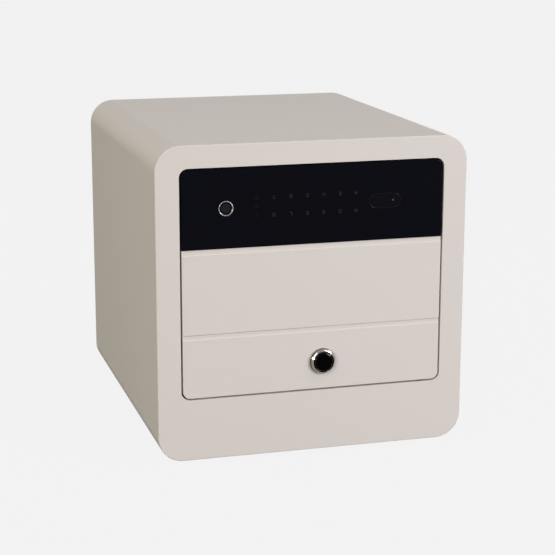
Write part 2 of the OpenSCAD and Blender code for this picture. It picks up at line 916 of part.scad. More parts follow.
module rack_teeth() {
    half = PI * tooth_m / 4 - backlash / 2;
    for (i = [-3:round((bolt_travel + 10) / PI / tooth_m)])
        translate([pinion_x + i * PI * tooth_m, arm_z1])
            polygon([
                [-half - root_gap * tan(pressure), 0], [half + root_gap * tan(pressure), 0],
                [half - tooth_m * tan(pressure), root_gap + tooth_m],
                [-half + tooth_m * tan(pressure), root_gap + tooth_m]
            ]);
}

// A slot that lets a fixed screw at x, z pass while the plate travels left.
module guide_slot(x, z) {
    round_rect(x - slot_r, z - slot_r, x + bolt_travel + slot_r, z + slot_r, slot_r);
}

module bolt_plate() {
    strip_z0 = bolt_zs[0] - bolt_r - plate_end;
    strip_z1 = bolt_zs[2] + bolt_r + plate_end;
    color("#a5a6a7") in_cabinet() difference() {
        union() {
            along_y(plate_y0, plate_y1) difference() {
                union() {
                    translate([plate_x0, strip_z0])
                        square([carriage_w, strip_z1 - strip_z0]);
                    translate([plate_x0, key_z - arm_h / 2])
                        square([arm_x1 - plate_x0, arm_h]);
                    translate([0, -0.01])
                        rack_teeth();
                }
                for (p = guides)
                    guide_slot(p[0], p[1]);
                round_rect(
                    key_x - window_r, key_z - window_r,
                    key_x + window_r + bolt_travel, key_z + window_r, 2
                );
            }
            block(
                plate_x0, bolt_y - bolt_r + 1, strip_z0,
                plate_x0 + carriage_t, plate_y0 + carriage_t / 2, strip_z1
            );
        }
        for (z = bolt_zs)
            rod_x(bolt_y, z, bolt_r / 2, plate_x0 - past, plate_x0 + carriage_t + past);
    }
}

module lock_bolts() {
    nose = 1.5;
    color("#cfd0d1") in_cabinet()
        for (z = bolt_zs) {
            rod_x(bolt_y, z, bolt_r, bolt_tip + nose, plate_x0);
            translate([bolt_tip, bolt_y, z])
                rotate([0, 90, 0])
                    cylinder(h = nose, r1 = bolt_r - nose, r2 = bolt_r);
            rod_x(bolt_y, z, bolt_r / 2, plate_x0, plate_x0 + carriage_t);
        }
}

module drive_pinion() {
    color("#c9a45c") in_cabinet() {
        translate([pinion_x, 0, pinion_z])
            along_y(plate_y0 - 0.5, plate_y1 + 0.5)
                pinion_outline();
        rod_y(pinion_x, pinion_z, 2.5, box_y1 - 8, plate_y0 - 0.4);
    }
}

module gearbox() {
    color("#8f9092") in_cabinet() difference() {
        block(
            pinion_x - box_half, skin_t, pinion_z - box_half + 3,
            pinion_x + box_half, box_y1, pinion_z + box_half - 1
        );
        rod_y(pinion_x, pinion_z, 2.5 + run_gap, box_y1 - 9, box_y1 + past);
    }
}

module motor() {
    x0 = pinion_x + box_half;
    color("#b4b5b7") in_cabinet() {
        rod_x(motor_y, pinion_z, motor_r, x0, x0 + 25);
        rod_x(motor_y, pinion_z, 3.5, x0 + 25, x0 + 27);
    }
}

module guide_screws() {
    color("#d2d2d0") in_cabinet()
        for (p = guides) {
            rod_y(p[0], p[1], screw_r, skin_t + 4, plate_y0 - slide_gap);
            rod_y(p[0], p[1], guide_r, plate_y0 - slide_gap, plate_y1 + slide_gap);
            rod_y(p[0], p[1], 5, plate_y1 + slide_gap, plate_y1 + slide_gap + 2);
        }
}

module control_board() {
    y1 = board_y + board_t;
    w = board_w;
    h = board_h;
    color("#1f5138") in_cabinet() translate([board_x0, 0, board_z0]) difference() {
        union() {
            block(0, board_y, 0, w, y1, h);
            block(0.22 * w, y1 - 0.1, 0.26 * h, 0.4 * w, y1 + 2, 0.55 * h);
            block(0.52 * w, y1 - 0.1, 0.1 * h, 0.64 * w, y1 + 6, 0.22 * h);
            block(0.75 * w, y1 - 0.1, 0.1 * h, 0.85 * w, y1 + 6, 0.22 * h);
            translate([ribbon_x - board_x0, y1 - 0.1, h - socket_h - 2])
                translate([-socket_w / 2, 0, 0])
                    cube([socket_w, socket_d + 0.1, socket_h]);
            translate([button_x - board_x0 - 3, y1 - 0.1, button_z - board_z0 - 3])
                cube([6, switch_h + 0.1, 6]);
        }
        for (x = [board_in, w - board_in], z = [board_in, h - board_in])
            rod_y(x, z, board_screw_r, board_y - past, y1 + past);
    }
}

module board_screws() {
    y1 = board_y + board_t;
    color("#c4c4c2") in_cabinet() at_board_screws() {
        rod_y(0, 0, board_screw_r, skin_t, y1);
        rod_y(0, 0, 2 * board_screw_r, y1, y1 + 1.4);
    }
}

module buzzer() {
    y0 = board_y + board_t;
    y1 = y0 + buzzer_h;
    color("#17181a") in_cabinet() turned(buzzer_x, mid_z)
        polygon([
            [0, y0], [buzzer_r, y0], [buzzer_r, y1 - 0.6], [buzzer_r - 0.6, y1],
            [buzzer_r / 6, y1], [buzzer_r / 6, y1 - 2], [0, y1 - 2]
        ]);
}

// The ribbon hangs from the key board's socket, bends back and runs down to the control board.
module ribbon_cable() {
    t = 0.5;
    top_y = glass_t + board_t + socket_d;
    low_y = board_y + board_t + socket_d;
    top_z = panel_z - keys_h / 2 + 1 + socket_h / 2;
    low_z = board_z1 - 2 - socket_h / 2;
    color("#c8c9cb") in_cabinet() along_x(ribbon_x - ribbon_w / 2, ribbon_x + ribbon_w / 2)
        polygon([
            [top_y, top_z], [top_y + t, top_z], [top_y + t, top_z - 12], [low_y + t, low_z + 10],
            [low_y + t, low_z], [low_y, low_z], [low_y, low_z + 10], [top_y, top_z - 12]
        ]);
}

module tray_outline(grow = 0) {
    w = cell_room_w / 2 + tray_t + grow;
    h = cell_room_h / 2 + tray_t + grow;
    round_rect(tray_x - w, tray_z - h, tray_x + w, tray_z + h, 1.5 + max(grow, 0));
}

module battery_tray() {
    color("#2b2c2f") in_cabinet() difference() {
        union() {
            along_y(tray_y0, pan_d)
                tray_outline();
            along_y(pan_d - tray_t, pan_d)
                tray_outline(tray_flange);
        }
        along_y(tray_y0 + tray_t, pan_d + past)
            tray_outline(-tray_t);
    }
}

module at_cells() {
    for (i = [0:3])
        translate([tray_x + (i - 1.5) * cell_pitch, pan_d - cell_pitch / 2, tray_z])
            mirror([0, 0, i % 2])
                children();
}

module battery_cells() {
    nub = 1.2;
    color("#5d6f4e") in_cabinet() at_cells() {
        translate([0, 0, -cell_len / 2])
            cylinder(h = cell_len - nub, r = cell_d / 2);
        translate([0, 0, cell_len / 2 - nub])
            cylinder(h = nub, r = 2.7);
    }
}

// A flat tag meets each cell's nub and a stepped coil spring its base.
module battery_contacts() {
    color("#c4c4c2") in_cabinet() at_cells() {
        translate([-contact_w / 2, -contact_w / 2, cell_room_h / 2 - 0.5])
            cube([contact_w, contact_w, 0.5]);
        translate([0, 0, cell_len / 2])
            cylinder(h = contact_l - 0.5, r = 2);
        translate([-contact_w / 2, -contact_w / 2, -cell_room_h / 2])
            cube([contact_w, contact_w, 0.5]);
        translate([0, 0, -cell_room_h / 2 + 0.5])
            cylinder(h = contact_l - 0.5, r1 = 4, r2 = 2.5);
    }
}

module lid_outline(inset = 0) {
    tray_outline(tray_rim - inset);
}

// The inside cover: its sound slots lie over the buzzer, and it is screwed to the pan's posts.
module door_cover() {
    color("#c2bcb3") in_cabinet() difference() {
        along_y(pan_d, door_d)
            door_outline();
        along_y(pan_d - past, door_d + past)
            lid_outline();
        rod_y(button_x, button_z, button_r + slide_gap, pan_d - past, door_d + past);
        for (i = [-3:3])
            along_y(pan_d - past, door_d + past)
                round_rect(buzzer_x - 10, mid_z + i * 4 - 0.8, buzzer_x + 10, mid_z + i * 4 + 0.8, 0.8);
        for (p = cover_bosses)
            rod_y(p[0], p[1], screw_r, pan_d - past, door_d + past);
    }
}

module cover_screws() {
    head_h = 1.6;
    color("#c4c4c2") in_cabinet()
        for (p = cover_bosses) {
            rod_y(p[0], p[1], screw_r, skin_t + 3, door_d);
            difference() {
                rod_y(p[0], p[1], 2 * screw_r, door_d, door_d + head_h);
                block(
                    p[0] - 0.4, door_d + head_h - 0.8, p[1] - 2.5,
                    p[0] + 0.4, door_d + head_h + past, p[1] + 2.5
                );
                block(
                    p[0] - 2.5, door_d + head_h - 0.8, p[1] - 0.4,
                    p[0] + 2.5, door_d + head_h + past, p[1] + 0.4
                );
            }
        }
}

// The battery lid rests on the tray's rim, and has a scoop for a fingertip.
module battery_lid() {
    color("#b5afa6") in_cabinet() difference() {
        along_y(pan_d, door_d)
            lid_outline(lid_gap);
        translate([tray_x, door_d + 5.2, tray_z + cell_room_h / 2 - 6])
            sphere(r = 6.4);
    }
}

module reset_button() {
    switch_y = board_y + board_t + switch_h + button_travel + 0.2;
    color("#b3392f") in_cabinet() {
        rod_y(button_x, button_z, button_r, pan_d - 3, door_d + 0.8);
        rod_y(button_x, button_z, button_r + 1.2, pan_d - 3, pan_d - slide_gap);
        rod_y(button_x, button_z, 2, switch_y, pan_d - 3);
    }
}

body_shell();
front_frame();
back_panel();
inner_tank();
floor_mat();
shelf_rails();
rail_screws();
rubber_feet();
foot_screws();
hinge_bushes();
shelf();
shelf_mat();
door_pan();
door_glass();
hinge_blocks();
hinge_pins();
finger_ring();
finger_sensor();
oval_window();
oval_lens();
sensor_board();
key_board();
panel_tray();
key_ring();
lock_barrel();
barrel_nut();
gearbox();
motor();
guide_screws();
control_board();
board_screws();
buzzer();
battery_tray();
battery_cells();
battery_contacts();
ribbon_cable();
door_cover();
cover_screws();
bolt_plate();
lock_bolts();
drive_pinion();
key_plug();
key_tail();
key_cap();
battery_lid();
reset_button();
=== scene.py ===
import math

import bmesh
import bpy
from mathutils import Matrix, Vector


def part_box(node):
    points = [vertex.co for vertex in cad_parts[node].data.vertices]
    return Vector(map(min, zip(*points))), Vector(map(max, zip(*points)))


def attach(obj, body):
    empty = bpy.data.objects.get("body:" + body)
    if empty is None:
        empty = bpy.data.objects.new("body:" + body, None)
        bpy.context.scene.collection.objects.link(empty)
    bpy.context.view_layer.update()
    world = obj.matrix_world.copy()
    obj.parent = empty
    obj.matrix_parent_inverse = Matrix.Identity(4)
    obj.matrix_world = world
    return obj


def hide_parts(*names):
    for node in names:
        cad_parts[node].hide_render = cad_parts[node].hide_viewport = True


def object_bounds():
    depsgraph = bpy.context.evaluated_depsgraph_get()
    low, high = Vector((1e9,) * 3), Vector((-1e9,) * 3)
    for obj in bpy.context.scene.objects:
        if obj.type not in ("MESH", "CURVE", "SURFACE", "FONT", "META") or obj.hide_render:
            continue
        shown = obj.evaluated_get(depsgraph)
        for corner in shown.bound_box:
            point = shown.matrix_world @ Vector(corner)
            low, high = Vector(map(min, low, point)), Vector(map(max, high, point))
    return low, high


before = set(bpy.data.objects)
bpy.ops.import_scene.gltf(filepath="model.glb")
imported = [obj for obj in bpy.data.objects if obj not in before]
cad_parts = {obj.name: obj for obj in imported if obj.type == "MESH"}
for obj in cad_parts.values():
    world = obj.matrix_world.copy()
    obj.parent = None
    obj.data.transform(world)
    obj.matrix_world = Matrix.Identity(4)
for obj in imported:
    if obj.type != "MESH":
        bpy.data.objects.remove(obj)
cad_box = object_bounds()


# Camera
# It stands at the left of the safe, above its top, and looks down at the door.
# The place, the angles and the lens come from the cabinet's straight edges.
eye = Vector((-0.5160, -1.8538, 0.6213))
yaw, pitch, roll = (math.radians(a) for a in (15.997, -13.49, 0.126))
ahead = Vector((math.sin(yaw) * math.cos(pitch), math.cos(yaw) * math.cos(pitch), math.sin(pitch)))
side = Vector((math.cos(yaw), -math.sin(yaw), 0))
rise = side.cross(ahead)
right = side * math.cos(roll) + rise * math.sin(roll)
over = rise * math.cos(roll) - side * math.sin(roll)
camera = bpy.data.objects.new("camera", bpy.data.cameras.new("camera"))
camera.data.lens = 103.16
camera.data.sensor_width = 36
camera.data.clip_start, camera.data.clip_end = 0.05, 100
camera.matrix_world = Matrix(
    [[right[i], over[i], -ahead[i], eye[i]] for i in range(3)] + [[0, 0, 0, 1]]
)
bpy.context.scene.collection.objects.link(camera)
bpy.context.scene.camera = camera
bpy.context.scene.view_settings.view_transform = "Standard"


# Studio
# A pale floor runs out of sight under even light that is warmer from the lower left. Soft boxes
# stand at the front, right, left and back, and a tall card and a narrow strip light the chrome.
# What shines sees a pale room, dimmer behind the camera, and a shadow is painted on the floor under
# the safe.
pale = 0.885
floor_end = 40
floor_mesh = bpy.data.meshes.new("floor")
floor_mesh.from_pydata(
    [(x * floor_end, y * floor_end, 0) for x, y in ((-1, -1), (1, -1), (1, 1), (-1, 1))],
    [],
    [(0, 1, 2, 3)],
)
studio_floor = bpy.data.objects.new("studio_floor", floor_mesh)
bpy.context.scene.collection.objects.link(studio_floor)


def wired(tree, kind, inputs=None, **settings):
    """A new node. Each input, by name or number, gets a value or the socket that feeds it."""
    node = tree.nodes.new(kind)
    for name, value in settings.items():
        setattr(node, name, value)
    for key, source in (inputs or {}).items():
        if isinstance(source, bpy.types.NodeSocket):
            tree.links.new(source, node.inputs[key])
        else:
            node.inputs[key].default_value = source
    return node


def worked(tree, operation, *terms):
    """The result of a Math node on up to three values or sockets."""
    return wired(tree, "ShaderNodeMath", dict(enumerate(terms)), operation=operation).outputs[0]


def graded(tree, value, low, high, at_low, at_high):
    """A result that goes from at_low to at_high while the value goes from low to high."""
    ends = {"Value": value, "From Min": low, "From Max": high, "To Min": at_low, "To Max": at_high}
    return wired(tree, "ShaderNodeMapRange", ends).outputs[0]


# The floor shows as one plain tone. Near the safe a small share of it is lit, which keeps the
# shadow, and under the safe a shadow is painted into it. In a reflection it shows more weakly.
floor_finish = bpy.data.materials.new("studio floor")
floor_finish.use_nodes = True
tree = floor_finish.node_tree
tree.nodes.clear()
place = wired(tree, "ShaderNodeTexCoord").outputs["Object"]
parted = wired(tree, "ShaderNodeSeparateXYZ", {0: place}).outputs
# A shadow painted under the safe: the floor's glow fades out over its footprint, inset from its
# sides.
painted_shadow_inside, painted_shadow_edge, painted_shadow_depth = 0.050, 0.028, 0.97
painted_shadow_mask = worked(
    tree,
    "MULTIPLY",
    *(
        graded(
            tree, worked(tree, "ABSOLUTE", parted[axis]),
            reach - painted_shadow_inside, reach - painted_shadow_edge, 1.0, 0.0,
        )
        for axis, reach in (("X", cad_box[1].x), ("Y", cad_box[1].y))
    ),
)
outward = wired(tree, "ShaderNodeVectorMath", {0: place}, operation="LENGTH").outputs["Value"]
lit_to, plain_from = 1.0, 2.0
far_level = graded(tree, outward, lit_to, plain_from, 1.0, 0.945)
far_share = graded(tree, outward, lit_to, plain_from, 0.94, 1.0)
sheet_white = wired(tree, "ShaderNodeBsdfDiffuse", {"Color": (0.20, 0.195, 0.18, 1)})
plain_pale = wired(
    tree,
    "ShaderNodeEmission",
    {
        "Color": (pale * 1.058, pale * 1.058, pale * 1.060, 1),
        "Strength": worked(tree, "MULTIPLY_ADD", painted_shadow_mask, -painted_shadow_depth, far_level),
    },
)
rays = wired(tree, "ShaderNodeLightPath").outputs
glossy_share = 0.22
in_gloss = worked(tree, "MULTIPLY", rays["Is Glossy Ray"], glossy_share)
seen = worked(tree, "MAXIMUM", rays["Is Camera Ray"], in_gloss)
seen_through = worked(tree, "MAXIMUM", seen, rays["Is Transmission Ray"])
floor_mix = wired(
    tree,
    "ShaderNodeMixShader",
    {
        0: worked(tree, "MULTIPLY", seen_through, far_share),
        1: sheet_white.outputs[0],
        2: plain_pale.outputs[0],
    },
)
wired(tree, "ShaderNodeOutputMaterial", {"Surface": floor_mix.outputs[0]})
floor_mesh.materials.append(floor_finish)

studio_air = bpy.data.worlds.new("studio air")
bpy.context.scene.world = studio_air
studio_air.use_nodes = True
tree = studio_air.node_tree
tree.nodes.clear()
toward = wired(tree, "ShaderNodeTexCoord").outputs["Generated"]
parted = wired(tree, "ShaderNodeSeparateXYZ", {0: toward}).outputs
slant = worked(tree, "ADD", parted["X"], parted["Z"])
air_tint = wired(
    tree,
    "ShaderNodeMix",
    data_type="RGBA",
    inputs={
        "A": (0.650, 0.618, 0.512, 1),
        "B": (0.510, 0.491, 0.489, 1),
        "Factor": graded(tree, slant, -1.0, 1.0, 0.0, 1.0),
    },
)
even = wired(tree, "ShaderNodeBackground", {"Color": air_tint.outputs["Result"]})
dimming = graded(tree, parted["Y"], -1.0, 0.3, 0.10, pale)
room = wired(tree, "ShaderNodeBackground", {"Strength": dimming})
backdrop = wired(tree, "ShaderNodeBackground", {"Color": (pale, pale, pale, 1)})
rays = wired(tree, "ShaderNodeLightPath").outputs
shining = worked(tree, "MAXIMUM", rays["Is Glossy Ray"], rays["Is Transmission Ray"])
shine_mix = wired(
    tree, "ShaderNodeMixShader", {0: shining, 1: even.outputs[0], 2: room.outputs[0]}
)
air_mix = wired(
    tree,
    "ShaderNodeMixShader",
    {0: rays["Is Camera Ray"], 1: shine_mix.outputs[0], 2: backdrop.outputs[0]},
)
wired(tree, "ShaderNodeOutputWorld", {"Surface": air_mix.outputs[0]})

lamp_aim = Vector((0, 0, 0.18))
for name, away, wide, high, power, tint in (
    ("front soft box", (2.65, -3.45, 0.95), 1.3, 1.3, 99, (0.99, 0.995, 1.065)),
    ("side soft box", (2.6, -1.2, 1.9), 1.1, 1.1, 9, (0.94, 0.98, 1.04)),
    ("left soft box", (-3.1, -2.8, 0.85), 0.6, 0.6, 38, (1.0, 0.98, 0.80)),
    ("high left card", (-2.5, -3.0, 1.95), 1.3, 3.2, 17, (1.0, 0.99, 0.95)),
    ("back soft box", (4.2, 2.4, 0.5), 1.2, 1.2, 34, (1.0, 0.99, 0.98)),
    ("overhead strip", (-0.3, -0.85, 2.1), 5.0, 0.15, 6, (1.0, 0.99, 0.97)),
):
    lamp = bpy.data.objects.new(name, bpy.data.lights.new(name, "AREA"))
    lamp.data.shape = "RECTANGLE"
    lamp.data.size, lamp.data.size_y = wide, high
    lamp.data.energy = power
    lamp.data.color = tint
    lamp.location = away
    lamp.rotation_euler = (lamp_aim - lamp.location).to_track_quat("-Z", "Y").to_euler()
    bpy.context.scene.collection.objects.link(lamp)


# Painted steel cabinet
# The shell is one steel sheet wrapped round four corners. The front plate and its jamb are
# welded into it and ground flush, and both are powder coated in one warm light grey.


def grain_group():
    """Tone, roughness and relief that vary finely over a surface."""
    tree = bpy.data.node_groups.new("surface grain", "ShaderNodeTree")
    for label, kind, value in (
        ("Color", "NodeSocketColor", (0.8, 0.8, 0.8, 1)),
        ("Tone", "NodeSocketFloat", 0.05),
        ("Roughness", "NodeSocketFloat", 0.5),
        ("Spread", "NodeSocketFloat", 0.1),
        ("Grain", "NodeSocketFloat", 900.0),
        ("Stretch", "NodeSocketVector", (1, 1, 1)),
        ("Cloud", "NodeSocketFloat", 9.0),
        ("Relief", "NodeSocketFloat", 0.00005),
    ):
        tree.interface.new_socket(label, in_out="INPUT", socket_type=kind).default_value = value
    tree.interface.new_socket("Color", in_out="OUTPUT", socket_type="NodeSocketColor")
    tree.interface.new_socket("Roughness", in_out="OUTPUT", socket_type="NodeSocketFloat")
    tree.interface.new_socket("Normal", in_out="OUTPUT", socket_type="NodeSocketVector")
    given = tree.nodes.new("NodeGroupInput").outputs
    result = tree.nodes.new("NodeGroupOutput").inputs
    place = wired(tree, "ShaderNodeTexCoord").outputs["Object"]
    stretch = {0: place, 1: given["Stretch"]}
    stretched = wired(tree, "ShaderNodeVectorMath", stretch, operation="MULTIPLY")
    fine = wired(
        tree,
        "ShaderNodeTexNoise",
        {"Detail": 3, "Vector": stretched.outputs[0], "Scale": given["Grain"]},
    ).outputs["Fac"]
    cloud = wired(
        tree, "ShaderNodeTexNoise", {"Detail": 2, "Vector": place, "Scale": given["Cloud"]}
    ).outputs["Fac"]
    both = worked(tree, "MULTIPLY_ADD", fine, 0.5, worked(tree, "MULTIPLY", cloud, 0.5))
    centred = worked(tree, "SUBTRACT", both, 0.5)
    tone = worked(tree, "MULTIPLY_ADD", centred, given["Tone"], 1.0)
    rough = worked(tree, "MULTIPLY_ADD", centred, given["Spread"], given["Roughness"])
    shading = {0: given["Color"], "Scale": tone}
    shade = wired(tree, "ShaderNodeVectorMath", shading, operation="SCALE")
    bump = wired(
        tree, "ShaderNodeBump", {"Strength": 1.0, "Height": fine, "Distance": given["Relief"]}
    )
    tree.links.new(shade.outputs[0], result["Color"])
    tree.links.new(rough, result["Roughness"])
    tree.links.new(bump.outputs[0], result["Normal"])
    return tree


surface_grain = grain_group()


def finish(name, color, grain, sockets):
    """A material: the grain group's values by name, and the shader's own sockets by name."""
    made = bpy.data.materials.new(name)
    made.use_nodes = True
    tree = made.node_tree
    shader = tree.nodes["Principled BSDF"]
    skin = tree.nodes.new("ShaderNodeGroup")
    skin.node_tree = surface_grain
    for key, value in {"Color": (*color, 1), **grain}.items():
        skin.inputs[key].default_value = value
    for key, socket in (("Color", "Base Color"), ("Roughness", "Roughness"), ("Normal", "Normal")):
        tree.links.new(skin.outputs[key], shader.inputs[socket])
    for key, value in sockets.items():
        shader.inputs[key].default_value = value
    return made


def merged(node):
    """A copy of a CAD node's triangles, with its doubles merged."""
    form = bmesh.new()
    form.from_mesh(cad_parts[node].data)
    bmesh.ops.remove_doubles(form, verts=form.verts, dist=2e-6)
    return form


def formed(form, piece, *finishes):
    """A bmesh made into a piece: its mesh, its finishes and its object."""
    mesh = bpy.data.meshes.new(piece)
    form.to_mesh(mesh)
    form.free()
    for material in finishes:
        mesh.materials.append(material)
    made = bpy.data.objects.new(piece, mesh)
    bpy.context.scene.collection.objects.link(made)
    return made


def bevelled(node, piece, body, width, material, spare=None):
    """A CAD node's own shape with its sharp edges rounded. spare(middle) keeps an edge sharp."""
    flat_to, bevel_from, smooth_to = (math.radians(a) for a in (0.6, 32, 38))
    form = merged(node)
    bmesh.ops.dissolve_limit(form, angle_limit=flat_to, verts=form.verts, edges=form.edges)
    sharp = [
        e
        for e in form.edges
        if len(e.link_faces) == 2
        and e.calc_face_angle(0) > bevel_from
        and not (spare and spare((e.verts[0].co + e.verts[1].co) / 2))
    ]
    if width:
        bmesh.ops.bevel(
            form, geom=sharp, offset=width, offset_type="OFFSET", segments=2,
            profile=0.65, affect="EDGES", clamp_overlap=False,
        )
    for face in form.faces:
        face.smooth = True
    for edge in form.edges:
        edge.smooth = len(edge.link_faces) == 2 and edge.calc_face_angle(0) < smooth_to
    made = formed(form, piece, material)
    evened = made.modifiers.new("evened", "WEIGHTED_NORMAL")
    evened.keep_sharp = True
    evened.weight = 60
    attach(made, body)
    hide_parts(node)
    return made


cabinet_paint = finish(
    "cabinet paint",
    (0.640, 0.596, 0.570),
    {"Tone": 0.03, "Roughness": 0.48, "Spread": 0.10, "Grain": 1400, "Cloud": 6, "Relief": 0.00001},
    {"Specular IOR Level": 0.25},
)
# Edges where the shell and the plate meet stay sharp, so that the ground seam doesn't show.
weld_width = 0.0001
plate_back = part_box("body_shell")[0].y
shell = bevelled(
    "body_shell", "cabinet_shell", "cabinet", 0.0006, cabinet_paint,
    lambda p: p.y < plate_back + weld_width,
)
front_plate = bevelled(
    "front_frame", "front_plate", "cabinet", 0.0004, cabinet_paint,
    lambda p: abs(p.y - plate_back) < weld_width,
)
back = bevelled("back_panel", "back_plate", "cabinet", 0.0005, cabinet_paint)


# Storage tank
# A box of thin folded sheet behind the jamb, open towards the door. Its coating is darker than
# the cabinet's, and textured.
tank_coat = finish(
    "tank coating",
    (0.235, 0.228, 0.215),
    {"Tone": 0.25, "Roughness": 0.62, "Spread": 0.2, "Grain": 1100, "Cloud": 14, "Relief": 0.00012},
    {"Specular IOR Level": 0.35},
)
tank = bevelled("inner_tank", "storage_tank", "cabinet", 0.0003, tank_coat)


# Felt
# Needled grey felt, cut a little smaller than the tank's floor and the shelf that it lies on,
# with holes over the floor anchors.
felt = finish(
    "grey felt",
    (0.060, 0.063, 0.070),
    {"Tone": 1.1, "Roughness": 0.95, "Spread": 0.05, "Grain": 2600, "Cloud": 40, "Relief": 0.0004},
    {"Specular IOR Level": 0.1, "Sheen Weight": 0.35, "Sheen Roughness": 0.6},
)
for node, piece, body, under in (
    ("floor_mat", "floor_felt", "cabinet", "inner_tank"),
    ("shelf_mat", "shelf_felt", "shelf", "shelf"),
):
    low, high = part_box(node)
    mat = bevelled(node, piece, body, 0.0005, felt)


# Shelf and rails
# A folded and painted steel shelf with five cable holes. It lies on two zinc plated angle
# rails, which are screwed to the tank's sides.
shelf_coat = finish(
    "shelf coating",
    (0.42, 0.40, 0.37),
    {"Tone": 0.12, "Roughness": 0.5, "Spread": 0.15, "Grain": 1200, "Cloud": 10, "Relief": 0.00006},
    {"Specular IOR Level": 0.4},
)
zinc_plate = finish(
    "zinc plate",
    (0.55, 0.56, 0.57),
    {"Tone": 0.35, "Roughness": 0.34, "Spread": 0.25, "Grain": 160, "Stretch": (1, 6, 6),
     "Cloud": 30, "Relief": 0.00001},
    {"Metallic": 1.0},
)
shelf = bevelled("shelf", "steel_shelf", "shelf", 0.0003, shelf_coat)
rails = bevelled("shelf_rails", "angle_rails", "cabinet", 0.0003, zinc_plate)


# Screws
# Pan heads with a cross, bright zinc plated. Those in the door's cover, the rails, the control
# board and the feet are the same shape in other sizes, and the shank fills its hole.
bright_zinc = finish(
    "bright zinc",
    (0.66, 0.67, 0.69),
    {"Tone": 0.2, "Roughness": 0.26, "Spread": 0.2, "Grain": 900, "Cloud": 300, "Relief": 0.00001},
    {"Metallic": 1.0},
)


def geometry_tree(name, inputs):
    """An empty tree with named inputs: itself, their identifiers, and its two ends."""
    tree = bpy.data.node_groups.new(name, "GeometryNodeTree")
    new_socket = tree.interface.new_socket
    new_socket("Geometry", in_out="INPUT", socket_type="NodeSocketGeometry")
    named = {
        label: new_socket(label, in_out="INPUT", socket_type="NodeSocket" + kind).identifier
        for label, kind in inputs
    }
    new_socket("Geometry", in_out="OUTPUT", socket_type="NodeSocketGeometry")
    given, result = tree.nodes.new("NodeGroupInput"), tree.nodes.new("NodeGroupOutput")
    return tree, named, given.outputs, result.inputs[0]


def lifted(tree, geometry, z):
    """A geometry moved up by the value of a socket."""
    away = wired(tree, "ShaderNodeCombineXYZ", {"Z": z}).outputs[0]
    inputs = {"Geometry": geometry, "Translation": away}
    return wired(tree, "GeometryNodeTransform", inputs).outputs[0]


def coated(tree, geometry, material):
    """A geometry with the material of a socket."""
    inputs = {"Geometry": geometry, "Material": material}
    return wired(tree, "GeometryNodeSetMaterial", inputs).outputs[0]


def set_out(tree, points, shape, turn):
    """The same shape on every point, as one plain mesh."""
    inputs = {"Points": points, "Instance": shape, "Rotation": turn}
    spots = wired(tree, "GeometryNodeInstanceOnPoints", inputs)
    return wired(tree, "GeometryNodeRealizeInstances", {0: spots.outputs[0]}).outputs[0]


def screw_tree():
    """Screws on every point of a mesh: a domed head with a cross, and a shank under it."""
    tree, named, given, result = geometry_tree(
        "screws on points",
        (
            ("Head Radius", "Float"),
            ("Head Height", "Float"),
            ("Shank Radius", "Float"),
            ("Shank Length", "Float"),
            ("Turn", "Vector"),
            ("Finish", "Material"),
        ),
    )

    def times(name, factor):
        return worked(tree, "MULTIPLY", given[name], factor)

    half_high = times("Head Height", 0.5)
    rim_size = {"Vertices": 32, "Radius": given["Head Radius"], "Depth": half_high}
    rim = wired(tree, "GeometryNodeMeshCylinder", rim_size).outputs
    dome = wired(
        tree,
        "GeometryNodeExtrudeMesh",
        {
            "Individual": False,
            "Mesh": rim["Mesh"],
            "Selection": rim["Top"],
            "Offset Scale": half_high,
        },
    ).outputs
    head = wired(
        tree,
        "GeometryNodeScaleElements",
        {"Scale": 0.72, "Geometry": dome["Mesh"], "Selection": dome["Top"]},
    ).outputs[0]
    cut = wired(
        tree,
        "GeometryNodeMeshBoolean",
        {"Mesh 1": lifted(tree, head, times("Head Height", 0.25))},
        operation="DIFFERENCE",
        solver="MANIFOLD",
    )
    for along_x, along_y, high in ((1.1, 0.24, 1.60), (0.24, 1.1, 1.62)):
        size = wired(
            tree,
            "ShaderNodeCombineXYZ",
            {
                "X": times("Head Radius", along_x),
                "Y": times("Head Radius", along_y),
                "Z": times("Head Height", high),
            },
        )
        bar = wired(tree, "GeometryNodeMeshCube", {"Size": size.outputs[0]}).outputs["Mesh"]
        tree.links.new(lifted(tree, bar, times("Head Height", 1.05)), cut.inputs["Mesh 2"])
    shank = wired(
        tree,
        "GeometryNodeMeshCylinder",
        {"Vertices": 24, "Radius": given["Shank Radius"], "Depth": given["Shank Length"]},
    ).outputs["Mesh"]
    whole = wired(tree, "GeometryNodeJoinGeometry", {0: cut.outputs["Mesh"]})
    tree.links.new(lifted(tree, shank, times("Shank Length", -0.5)), whole.inputs[0])
    real = set_out(tree, given["Geometry"], whole.outputs[0], given["Turn"])
    tree.links.new(coated(tree, real, given["Finish"]), result)
    return tree, named


def grown(piece, grower, points, values):
    """The plain mesh that a geometry tree makes on a set of points."""
    tree, named = grower
    seed = bpy.data.meshes.new(piece + "_points")
    seed.from_pydata(points, [], [])
    made = bpy.data.objects.new(piece, seed)
    bpy.context.scene.collection.objects.link(made)
    step = made.modifiers.new("grown", "NODES")
    step.node_group = tree
    for label, value in values.items():
        step[named[label]] = value
    bpy.context.view_layer.update()
    ready = made.evaluated_get(bpy.context.evaluated_depsgraph_get())
    mesh = bpy.data.meshes.new_from_object(ready)
    made.modifiers.clear()
    made.data = mesh
    return made


def islands_of(node):
    """The separate solids of a CAD node, each as its lowest and highest corner."""
    form = merged(node)
    left, found = set(form.verts), []
    while left:
        stack, group = [left.pop()], []
        while stack:
            vert = stack.pop()
            group.append(vert.co.copy())
            for edge in vert.link_edges:
                other = edge.other_vert(vert)
                if other in left:
                    left.remove(other)
                    stack.append(other)
        low = Vector([min(c[i] for c in group) for i in range(3)])
        high = Vector([max(c[i] for c in group) for i in range(3)])
        found.append((low, high))
    form.free()
    return sorted(found, key=lambda pair: tuple(round(c, 5) for c in pair[0]))


